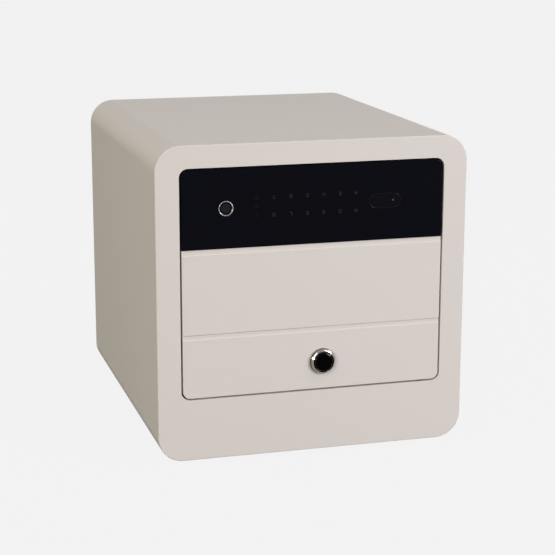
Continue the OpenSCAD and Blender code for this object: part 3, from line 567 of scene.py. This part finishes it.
# Each line gives a set's head radius and height, its shank radius, and the way that its heads
# face. The rails' screws are two rows whose heads face each other.
screws = screw_tree()
quarter = math.pi / 2
head_turns = {
    "+y": (-quarter, 0, 0), "-z": (math.pi, 0, 0), "+x": (0, quarter, 0), "-x": (0, -quarter, 0),
}
for node, piece, body, head_r, head_h, shank_r, facing in (
    ("cover_screws", "cover_screw_set", "door", 0.0040, 0.0016, 0.0020, "+y"),
    ("board_screws", "board_screw_set", "door", 0.0025, 0.0014, 0.00125, "+y"),
    ("foot_screws", "foot_screw_set", "cabinet", 0.0040, 0.0012, 0.0020, "-z"),
    ("rail_screws", "rail_screw_set_left", "cabinet", 0.0040, 0.0016, 0.0020, "+x"),
    ("rail_screws", "rail_screw_set_right", "cabinet", 0.0040, 0.0016, 0.0020, "-x"),
):
    axis = "xyz".index(facing[1])
    spots, length = [], 0
    for low, high in islands_of(node):
        spot = (low + high) / 2
        if (facing == "+x" and spot.x > 0) or (facing == "-x" and spot.x < 0):
            continue
        spot[axis] = high[axis] - head_h if facing[0] == "+" else low[axis] + head_h
        spots.append(spot)
        length = high[axis] - low[axis] - head_h
    made = grown(
        piece,
        screws,
        spots,
        {
            "Head Radius": head_r,
            "Head Height": head_h,
            "Shank Radius": shank_r,
            "Shank Length": length,
            "Turn": head_turns[facing],
            "Finish": bright_zinc,
        },
    )
    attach(made, body)
    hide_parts(node)


# Feet
# Four moulded rubber feet under the cabinet, set in from its sides. They taper to their treads,
# and each is held by a screw in its recess.
foot_rubber = finish(
    "foot rubber",
    (0.022, 0.022, 0.024),
    {"Tone": 0.5, "Roughness": 0.8, "Spread": 0.12, "Grain": 1800, "Cloud": 60, "Relief": 0.00005},
    {"Specular IOR Level": 0.35},
)
feet = bevelled("rubber_feet", "rubber_foot_set", "cabinet", 0.0006, foot_rubber)


# Hinge
# Two blackened steel pins stand in zinc plated blocks inside the door. They turn in flanged
# bronze bushes, which are pressed into the jamb.
turned_brass = finish(
    "turned brass",
    (0.72, 0.50, 0.22),
    {"Tone": 0.2, "Roughness": 0.3, "Spread": 0.2, "Grain": 500, "Stretch": (1, 1, 8),
     "Cloud": 60, "Relief": 0.00001},
    {"Metallic": 1.0},
)
black_steel = finish(
    "blackened steel",
    (0.055, 0.055, 0.058),
    {"Tone": 0.15, "Roughness": 0.42, "Spread": 0.15, "Grain": 500, "Stretch": (1, 1, 10),
     "Cloud": 60, "Relief": 0.00001},
    {"Metallic": 1.0},
)
oiled_bronze = finish(
    "oiled bronze",
    (0.085, 0.060, 0.042),
    {"Tone": 0.4, "Roughness": 0.5, "Spread": 0.2, "Grain": 1500, "Cloud": 80, "Relief": 0.00002},
    {"Metallic": 1.0},
)
bevelled("hinge_bushes", "hinge_bush_pair", "cabinet", 0.0002, oiled_bronze)
bevelled("hinge_pins", "hinge_pin_pair", "door", 0.0003, black_steel)
bevelled("hinge_blocks", "hinge_block_pair", "door", 0.0005, zinc_plate)


# Door
# A folded pan of thick steel with the cabinet's coating. It has two painted fields, each with a
# shallow channel along its top, and a rebate above them for the glass. A flat cover closes it.
door = bevelled("door_pan", "door_pan_shell", "door", 0.0002, cabinet_paint)
cover = bevelled("door_cover", "door_cover_plate", "door", 0.0003, cabinet_paint)


# Glass panel
# A pane of toughened glass painted black from behind, flush with the steel below it. A black
# strip on the pan's edge, at the pane's top and both ends, is painted shade in the gap round the
# pane.
panel_glass = finish(
    "black panel glass",
    (0.0036, 0.0039, 0.0064),
    {"Tone": 0.1, "Roughness": 0.05, "Spread": 0.02, "Grain": 60, "Cloud": 8, "Relief": 0.0},
    {"Specular IOR Level": 0.03},
)
pane = bevelled("door_glass", "glass_pane", "door", 0.0003, panel_glass)
pane_low, pane_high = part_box("door_glass")


def walled(form, rings):
    """Faces from each ring of points to the next. A ring may also be a single point."""
    for one, two in zip(rings, rings[1:]):
        count = max(len(one), len(two))
        for i in range(count):
            j = (i + 1) % count
            corners = one[i % len(one)], one[j % len(one)], two[j % len(two)], two[i % len(two)]
            corners = list(dict.fromkeys(corners))
            if len(corners) > 2:
                form.faces.new(corners)


# The black strip is painted shade: it darkens the gap above and beside the pane, where the pan's
# lit edge would show.
tape_corner_r, corner_steps = 0.008, 8
tape_thick, tape_sunk = 0.0003, 0.0001
tape_front, tape_back = pane_low.y + 0.0030, pane_low.y + 0.0110
door_low, door_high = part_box("door_pan")
tape_path = [(door_low.x, pane_low.z)]
for corner_x, start in ((door_low.x + tape_corner_r, 180), (door_high.x - tape_corner_r, 90)):
    for i in range(corner_steps + 1):
        turn = math.radians(start - 90 * i / corner_steps)
        x = corner_x + tape_corner_r * math.cos(turn)
        tape_path.append((x, door_high.z - tape_corner_r + tape_corner_r * math.sin(turn)))
tape_path.append((door_high.x, pane_low.z))
tape_form = bmesh.new()
tape_mid = Vector(((door_low.x + door_high.x) / 2, 0, (door_low.z + door_high.z) / 2))
tape_rings = []
for i, (x, z) in enumerate(tape_path):
    before, after = tape_path[max(i - 1, 0)], tape_path[min(i + 1, len(tape_path) - 1)]
    along = Vector((after[0] - before[0], 0, after[1] - before[1])).normalized()
    out = Vector((-along.z, 0, along.x))
    if out.dot(Vector((x, 0, z)) - tape_mid) < 0:
        out.negate()
    tape_rings.append(
        [
            tape_form.verts.new(Vector((x, y, z)) + out * rise_by)
            for y, rise_by in (
                (tape_front, -tape_sunk), (tape_front, tape_thick),
                (tape_back, tape_thick), (tape_back, -tape_sunk),
            )
        ]
    )
walled(tape_form, tape_rings)
tape_form.faces.new(tape_rings[0])
tape_form.faces.new(tape_rings[-1][::-1])
bmesh.ops.recalc_face_normals(tape_form, faces=tape_form.faces)
gap_shade_black = finish(
    "painted gap shade",
    (0.0040, 0.0040, 0.0045),
    {"Tone": 0.3, "Roughness": 0.6, "Spread": 0.1, "Grain": 1500, "Cloud": 60, "Relief": 0.00003},
    {"Specular IOR Level": 0.1},
)
gap_shade_strip = formed(tape_form, "pane_gap_shade", gap_shade_black)
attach(gap_shade_strip, "door")


# Touch keys
# Ten numerals, a star and a hash in two rows, and three status signs in a small clear field.
# They are printed behind the glass, and show as faint warm grey when the panel is asleep.
key_print = finish(
    "key print",
    (0.032, 0.028, 0.0265),
    {"Tone": 0.4, "Roughness": 0.12, "Spread": 0.05, "Grain": 1500, "Cloud": 300, "Relief": 0.0},
    {"Specular IOR Level": 0.06},
)
key_columns = (-0.0466, -0.0273, -0.0081, 0.0108, 0.0299, 0.0485)
key_rows = ((0.0102, "12345*"), (-0.0096, "67890#"))
numeral_high, sign_x, panel_drop = 0.0043, -0.0660, 0.0435
panel_z = pane_high.z - panel_drop
print_y, print_depth = pane_low.y - 0.00003, 0.00005


def printed(piece, outlines, ink):
    """Flat figures standing on the pane, each an outline of x and z points, all one mesh."""
    form = bmesh.new()
    for outline in outlines:
        base = [form.verts.new((x, print_y + print_depth, z)) for x, z in outline]
        top = [form.verts.new((x, print_y, z)) for x, z in outline]
        form.faces.new(top)
        form.faces.new(base[::-1])
        walled(form, (base, top))
    bmesh.ops.recalc_face_normals(form, faces=form.faces)
    made = formed(form, piece, ink)
    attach(made, "door")


def oblong(left, low, right, high):
    """The corners of an upright rectangle."""
    return [(left, low), (right, low), (right, high), (left, high)]


def numeral(sign, x, z, high):
    """The strokes of one sign, each an outline. Most digits are some of seven bars."""
    wide, stroke = high * 0.78, high * 0.155
    left, right, low, top = x - wide / 2, x + wide / 2, z - high / 2, z + high / 2
    if sign == "*":
        arm, half = high * 0.5, stroke * 0.45
        strokes = []
        for turn in (0, 60, 120):
            c, s = math.cos(math.radians(turn)), math.sin(math.radians(turn))
            bar = oblong(-half, -arm, half, arm)
            strokes.append([(x + u * c - v * s, z + u * s + v * c) for u, v in bar])
        return strokes
    if sign == "#":
        half, strokes = stroke * 0.4, []
        for part in (-0.2, 0.2):
            mid_x, mid_z = x + part * high, z + part * high
            strokes.append(oblong(mid_x - half, low, mid_x + half, top))
            strokes.append(oblong(x - high / 2, mid_z - half, x + high / 2, mid_z + half))
        return strokes
    if sign == "1":
        half, flag, foot = stroke / 2, wide * 0.3, wide * 0.35
        return [
            oblong(x - half, low, x + half, top),
            oblong(x - flag, top - stroke, x + half, top),
            oblong(x - foot, low, x + foot, low + stroke),
        ]
    spans = {
        "a": (left, top - stroke, right, top),
        "b": (right - stroke, z, right, top),
        "c": (right - stroke, low, right, z),
        "d": (left, low, right, low + stroke),
        "e": (left, low, left + stroke, z),
        "f": (left, z, left + stroke, top),
        "g": (left, z - stroke / 2, right, z + stroke / 2),
    }
    bars = {
        "0": "abcdef", "2": "abdeg", "3": "abcdg", "4": "bcfg", "5": "acdfg",
        "6": "acdefg", "7": "abc", "8": "abcdefg", "9": "abcdfg",
    }
    return [oblong(*spans[bar]) for bar in bars[sign]]


figures = []
for row, row_signs in key_rows:
    for column, sign in zip(key_columns, row_signs):
        figures += numeral(sign, column, panel_z + row, numeral_high)
printed("key_numerals", figures, key_print)

sign_print = finish(
    "sign print",
    (0.0082, 0.0077, 0.0088),
    {"Tone": 0.4, "Roughness": 0.12, "Spread": 0.05, "Grain": 1500, "Cloud": 300, "Relief": 0.0},
    {"Specular IOR Level": 0.06},
)
signs = []
for z, bars in (
    (
        0.0105,
        (
            (-0.0022, -0.0020, 0.0022, 0.0002),
            (-0.0015, 0.0002, -0.0009, 0.0018),
            (0.0009, 0.0002, 0.0015, 0.0018),
            (-0.0015, 0.0018, 0.0015, 0.0024),
        ),
    ),
    (0.0005, ((-0.0026, -0.0012, 0.0018, 0.0012), (0.0018, -0.0006, 0.0026, 0.0006))),
    (
        -0.0090,
        (
            (-0.0024, -0.0020, 0.0024, -0.0013),
            (-0.0005, -0.0010, 0.0005, 0.0022),
            (-0.0016, -0.0002, 0.0016, 0.0005),
        ),
    ),
):
    for left, low, right, top in bars:
        signs.append(oblong(sign_x + left, panel_z + z + low, sign_x + right, panel_z + z + top))
printed("status_signs", signs, sign_print)


# Fingerprint reader
# A polished chrome ring, pressed through the pane, round a satin black sensor. The sensor's
# face lies a little deeper than the ring, in a dark dish.
crease = math.radians(40)


def turned(piece, centre, profile, body, material, edge, edge_from):
    """A solid of revolution about the line through centre along y, from radius and y points.

    Faces farther out than edge_from take the finish edge.
    """
    form, steps, rings = bmesh.new(), 96, []
    for radius, y in profile:
        turns = [2 * math.pi * i / steps for i in range(steps if radius else 1)]
        rings.append(
            [
                form.verts.new(
                    (
                        centre.x + radius * math.cos(turn),
                        centre.y + y,
                        centre.z + radius * math.sin(turn),
                    )
                )
                for turn in turns
            ]
        )
    if len(rings[0]) > 1:
        rings.append(rings[0])
    walled(form, rings)
    bmesh.ops.recalc_face_normals(form, faces=form.faces)
    for face in form.faces:
        face.smooth = True
        out = face.calc_center_median() - centre
        face.material_index = int(math.hypot(out.x, out.z) > edge_from)
    made = formed(form, piece, material, edge)
    made.data.set_sharp_from_angle(angle=crease)
    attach(made, body)
    return made


def arc(centre_r, centre_y, radius, start, end, count):
    """Points of a round in radius and y, from one angle to another in degrees."""
    turns = [math.radians(start + (end - start) * i / count) for i in range(count + 1)]
    return [(centre_r + radius * math.cos(t), centre_y + radius * math.sin(t)) for t in turns]


chrome = finish(
    "bright chrome",
    (0.72, 0.70, 0.665),
    {"Tone": 0.05, "Roughness": 0.12, "Spread": 0.04, "Grain": 400, "Cloud": 80, "Relief": 0.0},
    {"Metallic": 1.0},
)
cool_chrome = finish(
    "cool chrome",
    (0.68, 0.705, 0.75),
    {"Tone": 0.05, "Roughness": 0.34, "Spread": 0.04, "Grain": 400, "Cloud": 80, "Relief": 0.0},
    {"Metallic": 1.0},
)
# The ring's bore and inner slope take a darker copy of the chrome: painted shade where the ring
# falls to the sensor.
shaded_chrome = finish(
    "painted shade chrome",
    (0.105, 0.105, 0.118),
    {"Tone": 0.05, "Roughness": 0.20, "Spread": 0.04, "Grain": 400, "Cloud": 80, "Relief": 0.0},
    {"Metallic": 1.0},
)
sensor_face = finish(
    "sensor face",
    (0.0098, 0.0090, 0.0084),
    {"Tone": 0.3, "Roughness": 0.42, "Spread": 0.1, "Grain": 3000, "Cloud": 200, "Relief": 0.00002},
    {"Specular IOR Level": 0.12},
)
ring_low, ring_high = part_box("finger_ring")
ring_mid = Vector(((ring_low.x + ring_high.x) / 2, pane_low.y, (ring_low.z + ring_high.z) / 2))
ring_bore, ring_r, ring_back, sensor_back = 0.0069, 0.0083, 0.0045, 0.0100
ring_profile = (
    [(ring_bore, ring_back), (ring_bore, 0.00030), (0.0070, 0.00022), (0.0075, -0.00006)]
    + arc(0.00790, -0.00008, 0.00040, 215, 345, 10)
    + [(0.00834, -0.00002), (ring_r, 0.0), (ring_r, ring_back)]
)
ring_slope_r = 0.00753
finger_ring = turned(
    "reader_ring", ring_mid, ring_profile, "door", shaded_chrome, cool_chrome, ring_slope_r
)
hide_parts("finger_ring")
dish_r, dish_y = 0.0068, 0.0018
sensor_profile = (
    [(0.0, 0.0008), (0.0044, 0.0007)]
    + arc(0.0052, 0.0011, 0.0004, 270, 360, 5)
    + [(0.0056, dish_y), (dish_r, dish_y), (dish_r, ring_back), (ring_r, ring_back)]
    + [(ring_r, sensor_back), (0.0, sensor_back)]
)
sensor_r = 0.0054
sensor = turned(
    "reader_sensor", ring_mid, sensor_profile, "door", sensor_face, panel_glass, sensor_r
)
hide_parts("finger_sensor")


# Oval window
# A smoked plastic window with a fine polished rim, and a small moulded lens near its right end.
# It stands a little out of the pane and is clipped behind it.
smoked = finish(
    "smoked window",
    (0.0049, 0.0052, 0.0074),
    {"Tone": 0.2, "Roughness": 0.10, "Spread": 0.05, "Grain": 300, "Cloud": 60, "Relief": 0.0},
    {"Specular IOR Level": 0.03},
)
# The rim's black is a little lighter than the window's: a painted highlight along the rim, beside
# its real gloss.
glossy_rim_highlight = finish(
    "polished rim, painted highlight",
    (0.0066, 0.0066, 0.0076),
    {"Tone": 0.1, "Roughness": 0.16, "Spread": 0.02, "Grain": 200, "Cloud": 60, "Relief": 0.0},
    {"Specular IOR Level": 0.27},
)
lens_clear = finish(
    "window lens",
    (0.045, 0.050, 0.056),
    {"Tone": 0.1, "Roughness": 0.12, "Spread": 0.02, "Grain": 300, "Cloud": 60, "Relief": 0.0},
    {"Specular IOR Level": 0.3},
)
window = bevelled("oval_window", "oval_window_pane", "door", 0.0002, smoked)
window_lip, rim_inset = 0.0012, 0.00055
rim_half_wide, rim_half_high = 0.00032, 0.00025
rim_steps, rim_sides = 64, 10
rim_low, rim_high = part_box("oval_window")
rim_end = (rim_high.z - rim_low.z) / 2 - window_lip - rim_inset
rim_run = (rim_high.x - rim_low.x) / 2 - window_lip - rim_end - rim_inset
rim_form = bmesh.new()
rim_rings = []
side_turns = [2 * math.pi * j / rim_sides for j in range(rim_sides)]
for i in range(rim_steps):
    turn = 2 * math.pi * i / rim_steps
    ends = rim_run if math.cos(turn) > 0 else -rim_run
    out = Vector((math.cos(turn), 0, math.sin(turn)))
    middle = Vector(((rim_low.x + rim_high.x) / 2 + ends, rim_low.y, (rim_low.z + rim_high.z) / 2))
    rim_rings.append(
        [
            rim_form.verts.new(
                middle
                + out * (rim_end + rim_half_wide * math.cos(side_turn))
                + Vector((0, rim_half_high * math.sin(side_turn), 0))
            )
            for side_turn in side_turns
        ]
    )
walled(rim_form, rim_rings + rim_rings[:1])
bmesh.ops.recalc_face_normals(rim_form, faces=rim_form.faces)
for face in rim_form.faces:
    face.smooth = True
window_rim = formed(rim_form, "oval_window_rim", glossy_rim_highlight)
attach(window_rim, "door")
lens = bevelled("oval_lens", "oval_window_lens", "door", 0, lens_clear)


# Key lock
# A chrome ring on the door's lower field, and in it a polished black cap over the keyhole.
# Behind the cap are the zinc barrel, its nut, the brass plug and the steel tail.
gloss_black = finish(
    "gloss black",
    (0.0010, 0.0010, 0.0011),
    {"Tone": 0.1, "Roughness": 0.12, "Spread": 0.02, "Grain": 200, "Cloud": 60, "Relief": 0.0},
    {"Specular IOR Level": 0.03},
)
cap_edge = finish(
    "gloss black edge",
    (0.0010, 0.0010, 0.0012),
    {"Tone": 0.1, "Roughness": 0.05, "Spread": 0.02, "Grain": 200, "Cloud": 60, "Relief": 0.0},
    {"Specular IOR Level": 0.30},
)
cast_zinc = finish(
    "cast zinc",
    (0.42, 0.43, 0.44),
    {"Tone": 0.3, "Roughness": 0.45, "Spread": 0.2, "Grain": 1500, "Cloud": 80, "Relief": 0.00004},
    {"Metallic": 1.0},
)
seat_low, seat_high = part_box("key_ring")
lock_mid = Vector(((seat_low.x + seat_high.x) / 2, seat_high.y, (seat_low.z + seat_high.z) / 2))
cap_gap = 0.0003
cap_r = (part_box("key_cap")[1].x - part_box("key_cap")[0].x) / 2 - cap_gap
bore_r = cap_r + cap_gap
key_ring_profile = (
    [(bore_r, 0.0), (bore_r, -0.0046), (cap_r + 0.0006, -0.00505)]
    + arc(cap_r + 0.0008, -0.0047, 0.0005, 264, 307, 6)
    + arc(cap_r + 0.0019, -0.00324, 0.0010, 307, 350, 8)
    + [(0.0144, -0.0012)]
    + arc(0.0148, -0.0003, 0.0004, 255, 360, 5)
    + [(0.0152, 0.0)]
)
# The ring's outer skirt is a dark brown copy of the chrome: painted shade where the ring's steep
# foot meets the door.
skirt_shade = finish(
    "painted skirt shade",
    (0.27, 0.235, 0.205),
    {"Tone": 0.1, "Roughness": 0.32, "Spread": 0.05, "Grain": 400, "Cloud": 80, "Relief": 0.0},
    {"Metallic": 1.0},
)
skirt_shade_r = 0.0142
key_ring = turned("lock_ring", lock_mid, key_ring_profile, "door", chrome, skirt_shade, skirt_shade_r)
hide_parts("key_ring")
cap_lip, cap_skirt_y, cap_back_y = cap_r - 0.0012, -0.0003, -0.0032
cap_profile = (
    [(0.0, -0.0060), (0.0025, -0.00597), (0.0050, -0.00586), (0.0075, -0.00566), (0.0088, -0.0055)]
    + arc(cap_r - 0.0023, -0.0031, 0.0023, 279, 360, 12)
    + [(cap_r, cap_skirt_y), (cap_lip, cap_skirt_y), (cap_lip, cap_back_y), (0.0, cap_back_y)]
)
cap_face_r = cap_r - 0.0022
key_cap = turned("keyhole_cap", lock_mid, cap_profile, "cap", gloss_black, cap_edge, cap_face_r)
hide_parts("key_cap")
bevelled("lock_barrel", "lock_barrel_body", "door", 0.0003, cast_zinc)
bevelled("barrel_nut", "barrel_hex_nut", "door", 0.0003, zinc_plate)
bevelled("key_plug", "lock_plug", "plug", 0.0002, turned_brass)
bevelled("key_tail", "lock_tail", "plug", 0.0002, zinc_plate)


# Bolt work
# Three nickel plated bolts on one zinc plated plate, which runs on three shoulder screws.
# A brass pinion on a geared motor drives the rack along the plate's arm.
nickel = finish(
    "nickel plate",
    (0.68, 0.67, 0.65),
    {"Tone": 0.12, "Roughness": 0.2, "Spread": 0.15, "Grain": 500, "Stretch": (10, 1, 1),
     "Cloud": 60, "Relief": 0.00001},
    {"Metallic": 1.0},
)
bevelled("lock_bolts", "lock_bolt_set", "bolts", 0.0003, nickel)
bevelled("bolt_plate", "bolt_carrier", "bolts", 0.0002, zinc_plate)
bevelled("guide_screws", "guide_screw_set", "door", 0.0003, bright_zinc)
bevelled("drive_pinion", "rack_pinion", "pinion", 0.0001, turned_brass)
bevelled("gearbox", "drive_gearbox", "door", 0.0008, cast_zinc)
bevelled("motor", "drive_motor", "door", 0.0005, nickel)


# Electronics
# Green laminate boards with black chips, capacitors and a switch. Ivory sockets take the flat
# grey ribbon that joins two of them, and a black tray closes the window behind the pane.
laminate = finish(
    "green laminate",
    (0.016, 0.095, 0.045),
    {"Tone": 0.8, "Roughness": 0.36, "Spread": 0.2, "Grain": 420, "Cloud": 260, "Relief": 0.00003},
    {"Specular IOR Level": 0.5},
)
black_moulding = finish(
    "black moulding",
    (0.028, 0.028, 0.030),
    {"Tone": 0.3, "Roughness": 0.55, "Spread": 0.12, "Grain": 2400, "Cloud": 40, "Relief": 0.00004},
    {"Specular IOR Level": 0.4},
)
ribbon_vinyl = finish(
    "ribbon vinyl",
    (0.36, 0.37, 0.39),
    {"Tone": 0.3, "Roughness": 0.5, "Spread": 0.1, "Grain": 300, "Stretch": (8, 0.1, 0.1),
     "Cloud": 20, "Relief": 0.0001},
    {"Specular IOR Level": 0.4},
)
ivory = finish(
    "ivory moulding",
    (0.62, 0.58, 0.46),
    {"Tone": 0.15, "Roughness": 0.4, "Spread": 0.1, "Grain": 1800, "Cloud": 60, "Relief": 0.00002},
    {"Specular IOR Level": 0.45},
)
laminate_high, ribbon_margin = 0.0017, 0.003
ribbon_low, ribbon_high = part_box("ribbon_cable")
for node, piece in (
    ("key_board", "touch_board"), ("sensor_board", "window_board"), ("control_board", "main_board"),
):
    board = bevelled(node, piece, "door", 0.0002, laminate)
    board.data.materials.append(black_moulding)
    board.data.materials.append(ivory)
    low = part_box(node)[0]
    for face in board.data.polygons:
        x = face.center.x
        if face.center.y > low.y + laminate_high:
            near_ribbon = ribbon_low.x - ribbon_margin < x < ribbon_high.x + ribbon_margin
            face.material_index = 2 if near_ribbon else 1
bevelled("panel_tray", "board_tray", "door", 0.0004, black_moulding)
bevelled("buzzer", "sound_buzzer", "door", 0.0002, black_moulding)
bevelled("ribbon_cable", "flat_ribbon", "door", 0.0001, ribbon_vinyl)


# Batteries
# Four cells stand side by side in a moulded tray, head to tail, between tags and coil springs.
# A flush lid covers them from inside the safe.
cell_sleeve = finish(
    "cell sleeve",
    (0.05, 0.10, 0.04),
    {"Tone": 0.15, "Roughness": 0.25, "Spread": 0.08, "Grain": 500, "Cloud": 40, "Relief": 0.0},
    {"Specular IOR Level": 0.5},
)
sleeve_band = finish(
    "sleeve band",
    (0.62, 0.63, 0.60),
    {"Tone": 0.1, "Roughness": 0.25, "Spread": 0.08, "Grain": 500, "Cloud": 40, "Relief": 0.0},
    {"Specular IOR Level": 0.5},
)


def battery_tree():
    """A cell, or its tag and spring, on every point, each second one upside down."""
    tree, named, given, result = geometry_tree(
        "cells on points",
        (
            ("Cell Radius", "Float"),
            ("Cell Length", "Float"),
            ("Room Length", "Float"),
            ("Show Contacts", "Bool"),
            ("Sleeve", "Material"),
            ("Band", "Material"),
            ("Metal", "Material"),
        ),
    )

    def scaled(name, factor, plus=0.0):
        return worked(tree, "MULTIPLY_ADD", given[name], factor, plus)

    def half_gap(less):
        """Half of what the room is longer than the cell, and a little less."""
        gap = worked(tree, "SUBTRACT", given["Room Length"], given["Cell Length"])
        return worked(tree, "MULTIPLY_ADD", gap, 0.5, -less)

    def drum(low_r, high_r, depth):
        inputs = {"Vertices": 40, "Radius Bottom": low_r, "Radius Top": high_r, "Depth": depth}
        return wired(tree, "GeometryNodeMeshCone", inputs).outputs["Mesh"]

    full, slim = given["Cell Radius"], scaled("Cell Radius", 0.93)
    nub_r, shoulder_r = scaled("Cell Radius", 0.38), scaled("Cell Radius", 0.55)
    cell = wired(tree, "GeometryNodeJoinGeometry")
    for low_r, high_r, depth, middle, coat in (
        (slim, full, (0, 0.0006), (-0.5, 0.0003), "Metal"),
        (full, full, (0.74, -0.0006), (-0.13, 0.0003), "Sleeve"),
        (full, full, (0.20, 0), (0.34, 0), "Band"),
        (full, slim, (0, 0.0006), (0.44, 0.0003), "Band"),
        (slim, shoulder_r, (0.06, -0.0022), (0.47, -0.0005), "Metal"),
        (nub_r, nub_r, (0, 0.0016), (0.5, -0.0008), "Metal"),
    ):
        part = drum(low_r, high_r, scaled("Cell Length", *depth))
        part = lifted(tree, part, scaled("Cell Length", *middle))
        tree.links.new(coated(tree, part, given[coat]), cell.inputs[0])

    coil = wired(
        tree,
        "GeometryNodeCurveSpiral",
        {
            "Resolution": 20,
            "Rotations": 3.5,
            "Start Radius": 0.0038,
            "End Radius": 0.0024,
            "Height": half_gap(0.0010),
        },
    )
    wire = wired(tree, "GeometryNodeCurvePrimitiveCircle", {"Resolution": 8, "Radius": 0.00032})
    strand = {"Curve": coil.outputs[0], "Profile Curve": wire.outputs["Curve"], "Fill Caps": True}
    spring = wired(tree, "GeometryNodeCurveToMesh", strand).outputs[0]
    tag_size = {"Vertices": 8, "Radius": 0.0042, "Depth": 0.0005}
    tag = wired(tree, "GeometryNodeMeshCylinder", tag_size).outputs["Mesh"]
    button = drum(0.0016, 0.0020, half_gap(0.0006))
    button_z = worked(
        tree, "ADD", scaled("Room Length", 0.25, -0.0002), scaled("Cell Length", 0.25)
    )
    contacts = wired(tree, "GeometryNodeJoinGeometry")
    for part, z in (
        (spring, scaled("Room Length", -0.5, 0.0008)),
        (tag, scaled("Room Length", -0.5, 0.00025)),
        (tag, scaled("Room Length", 0.5, -0.00025)),
        (button, button_z),
    ):
        tree.links.new(lifted(tree, part, z), contacts.inputs[0])

    chosen = wired(
        tree,
        "GeometryNodeSwitch",
        input_type="GEOMETRY",
        inputs={
            "Switch": given["Show Contacts"],
            "False": cell.outputs[0],
            "True": coated(tree, contacts.outputs[0], given["Metal"]),
        },
    )
    row = wired(tree, "GeometryNodeInputIndex").outputs[0]
    flip = worked(tree, "MULTIPLY", worked(tree, "MODULO", row, 2.0), math.pi)
    over_x = wired(tree, "ShaderNodeCombineXYZ", {"X": flip}).outputs[0]
    tree.links.new(set_out(tree, given["Geometry"], chosen.outputs[0], over_x), result)
    return tree, named


cells = battery_tree()
cell_boxes = islands_of("battery_cells")
room_low, room_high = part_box("battery_contacts")
cell_low = min(low.z for low, high in cell_boxes)
cell_high = max(high.z for low, high in cell_boxes)
cell_r = (cell_boxes[0][1].x - cell_boxes[0][0].x) / 2
cell_spots = [
    ((low.x + high.x) / 2, (low.y + high.y) / 2, (cell_low + cell_high) / 2)
    for low, high in cell_boxes
]
for node, piece, show, slot in (
    ("battery_cells", "cell_set", False, "cell_sleeve"),
    ("battery_contacts", "cell_contacts", True, "contact_metal"),
):
    made = grown(
        piece,
        cells,
        cell_spots,
        {
            "Cell Radius": cell_r,
            "Cell Length": cell_high - cell_low,
            "Room Length": room_high.z - room_low.z,
            "Show Contacts": show,
            "Sleeve": cell_sleeve,
            "Band": sleeve_band,
            "Metal": nickel,
        },
    )
    for face in made.data.polygons:
        face.use_smooth = True
    made.data.set_sharp_from_angle(angle=crease)
    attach(made, "door")
    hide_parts(node)
bevelled("battery_tray", "cell_tray", "door", 0.0003, black_moulding)
bevelled("battery_lid", "cell_lid", "lid", 0.0003, cabinet_paint)


# Reset button
# A red moulded button in the door's inside cover. The owner presses it to teach the panel a
# new finger.
button_red = finish(
    "button red",
    (0.36, 0.012, 0.010),
    {"Tone": 0.12, "Roughness": 0.4, "Spread": 0.1, "Grain": 1600, "Cloud": 100, "Relief": 0.00002},
    {"Specular IOR Level": 0.5},
)
bevelled("reset_button", "teach_button", "button", 0.0004, button_red)
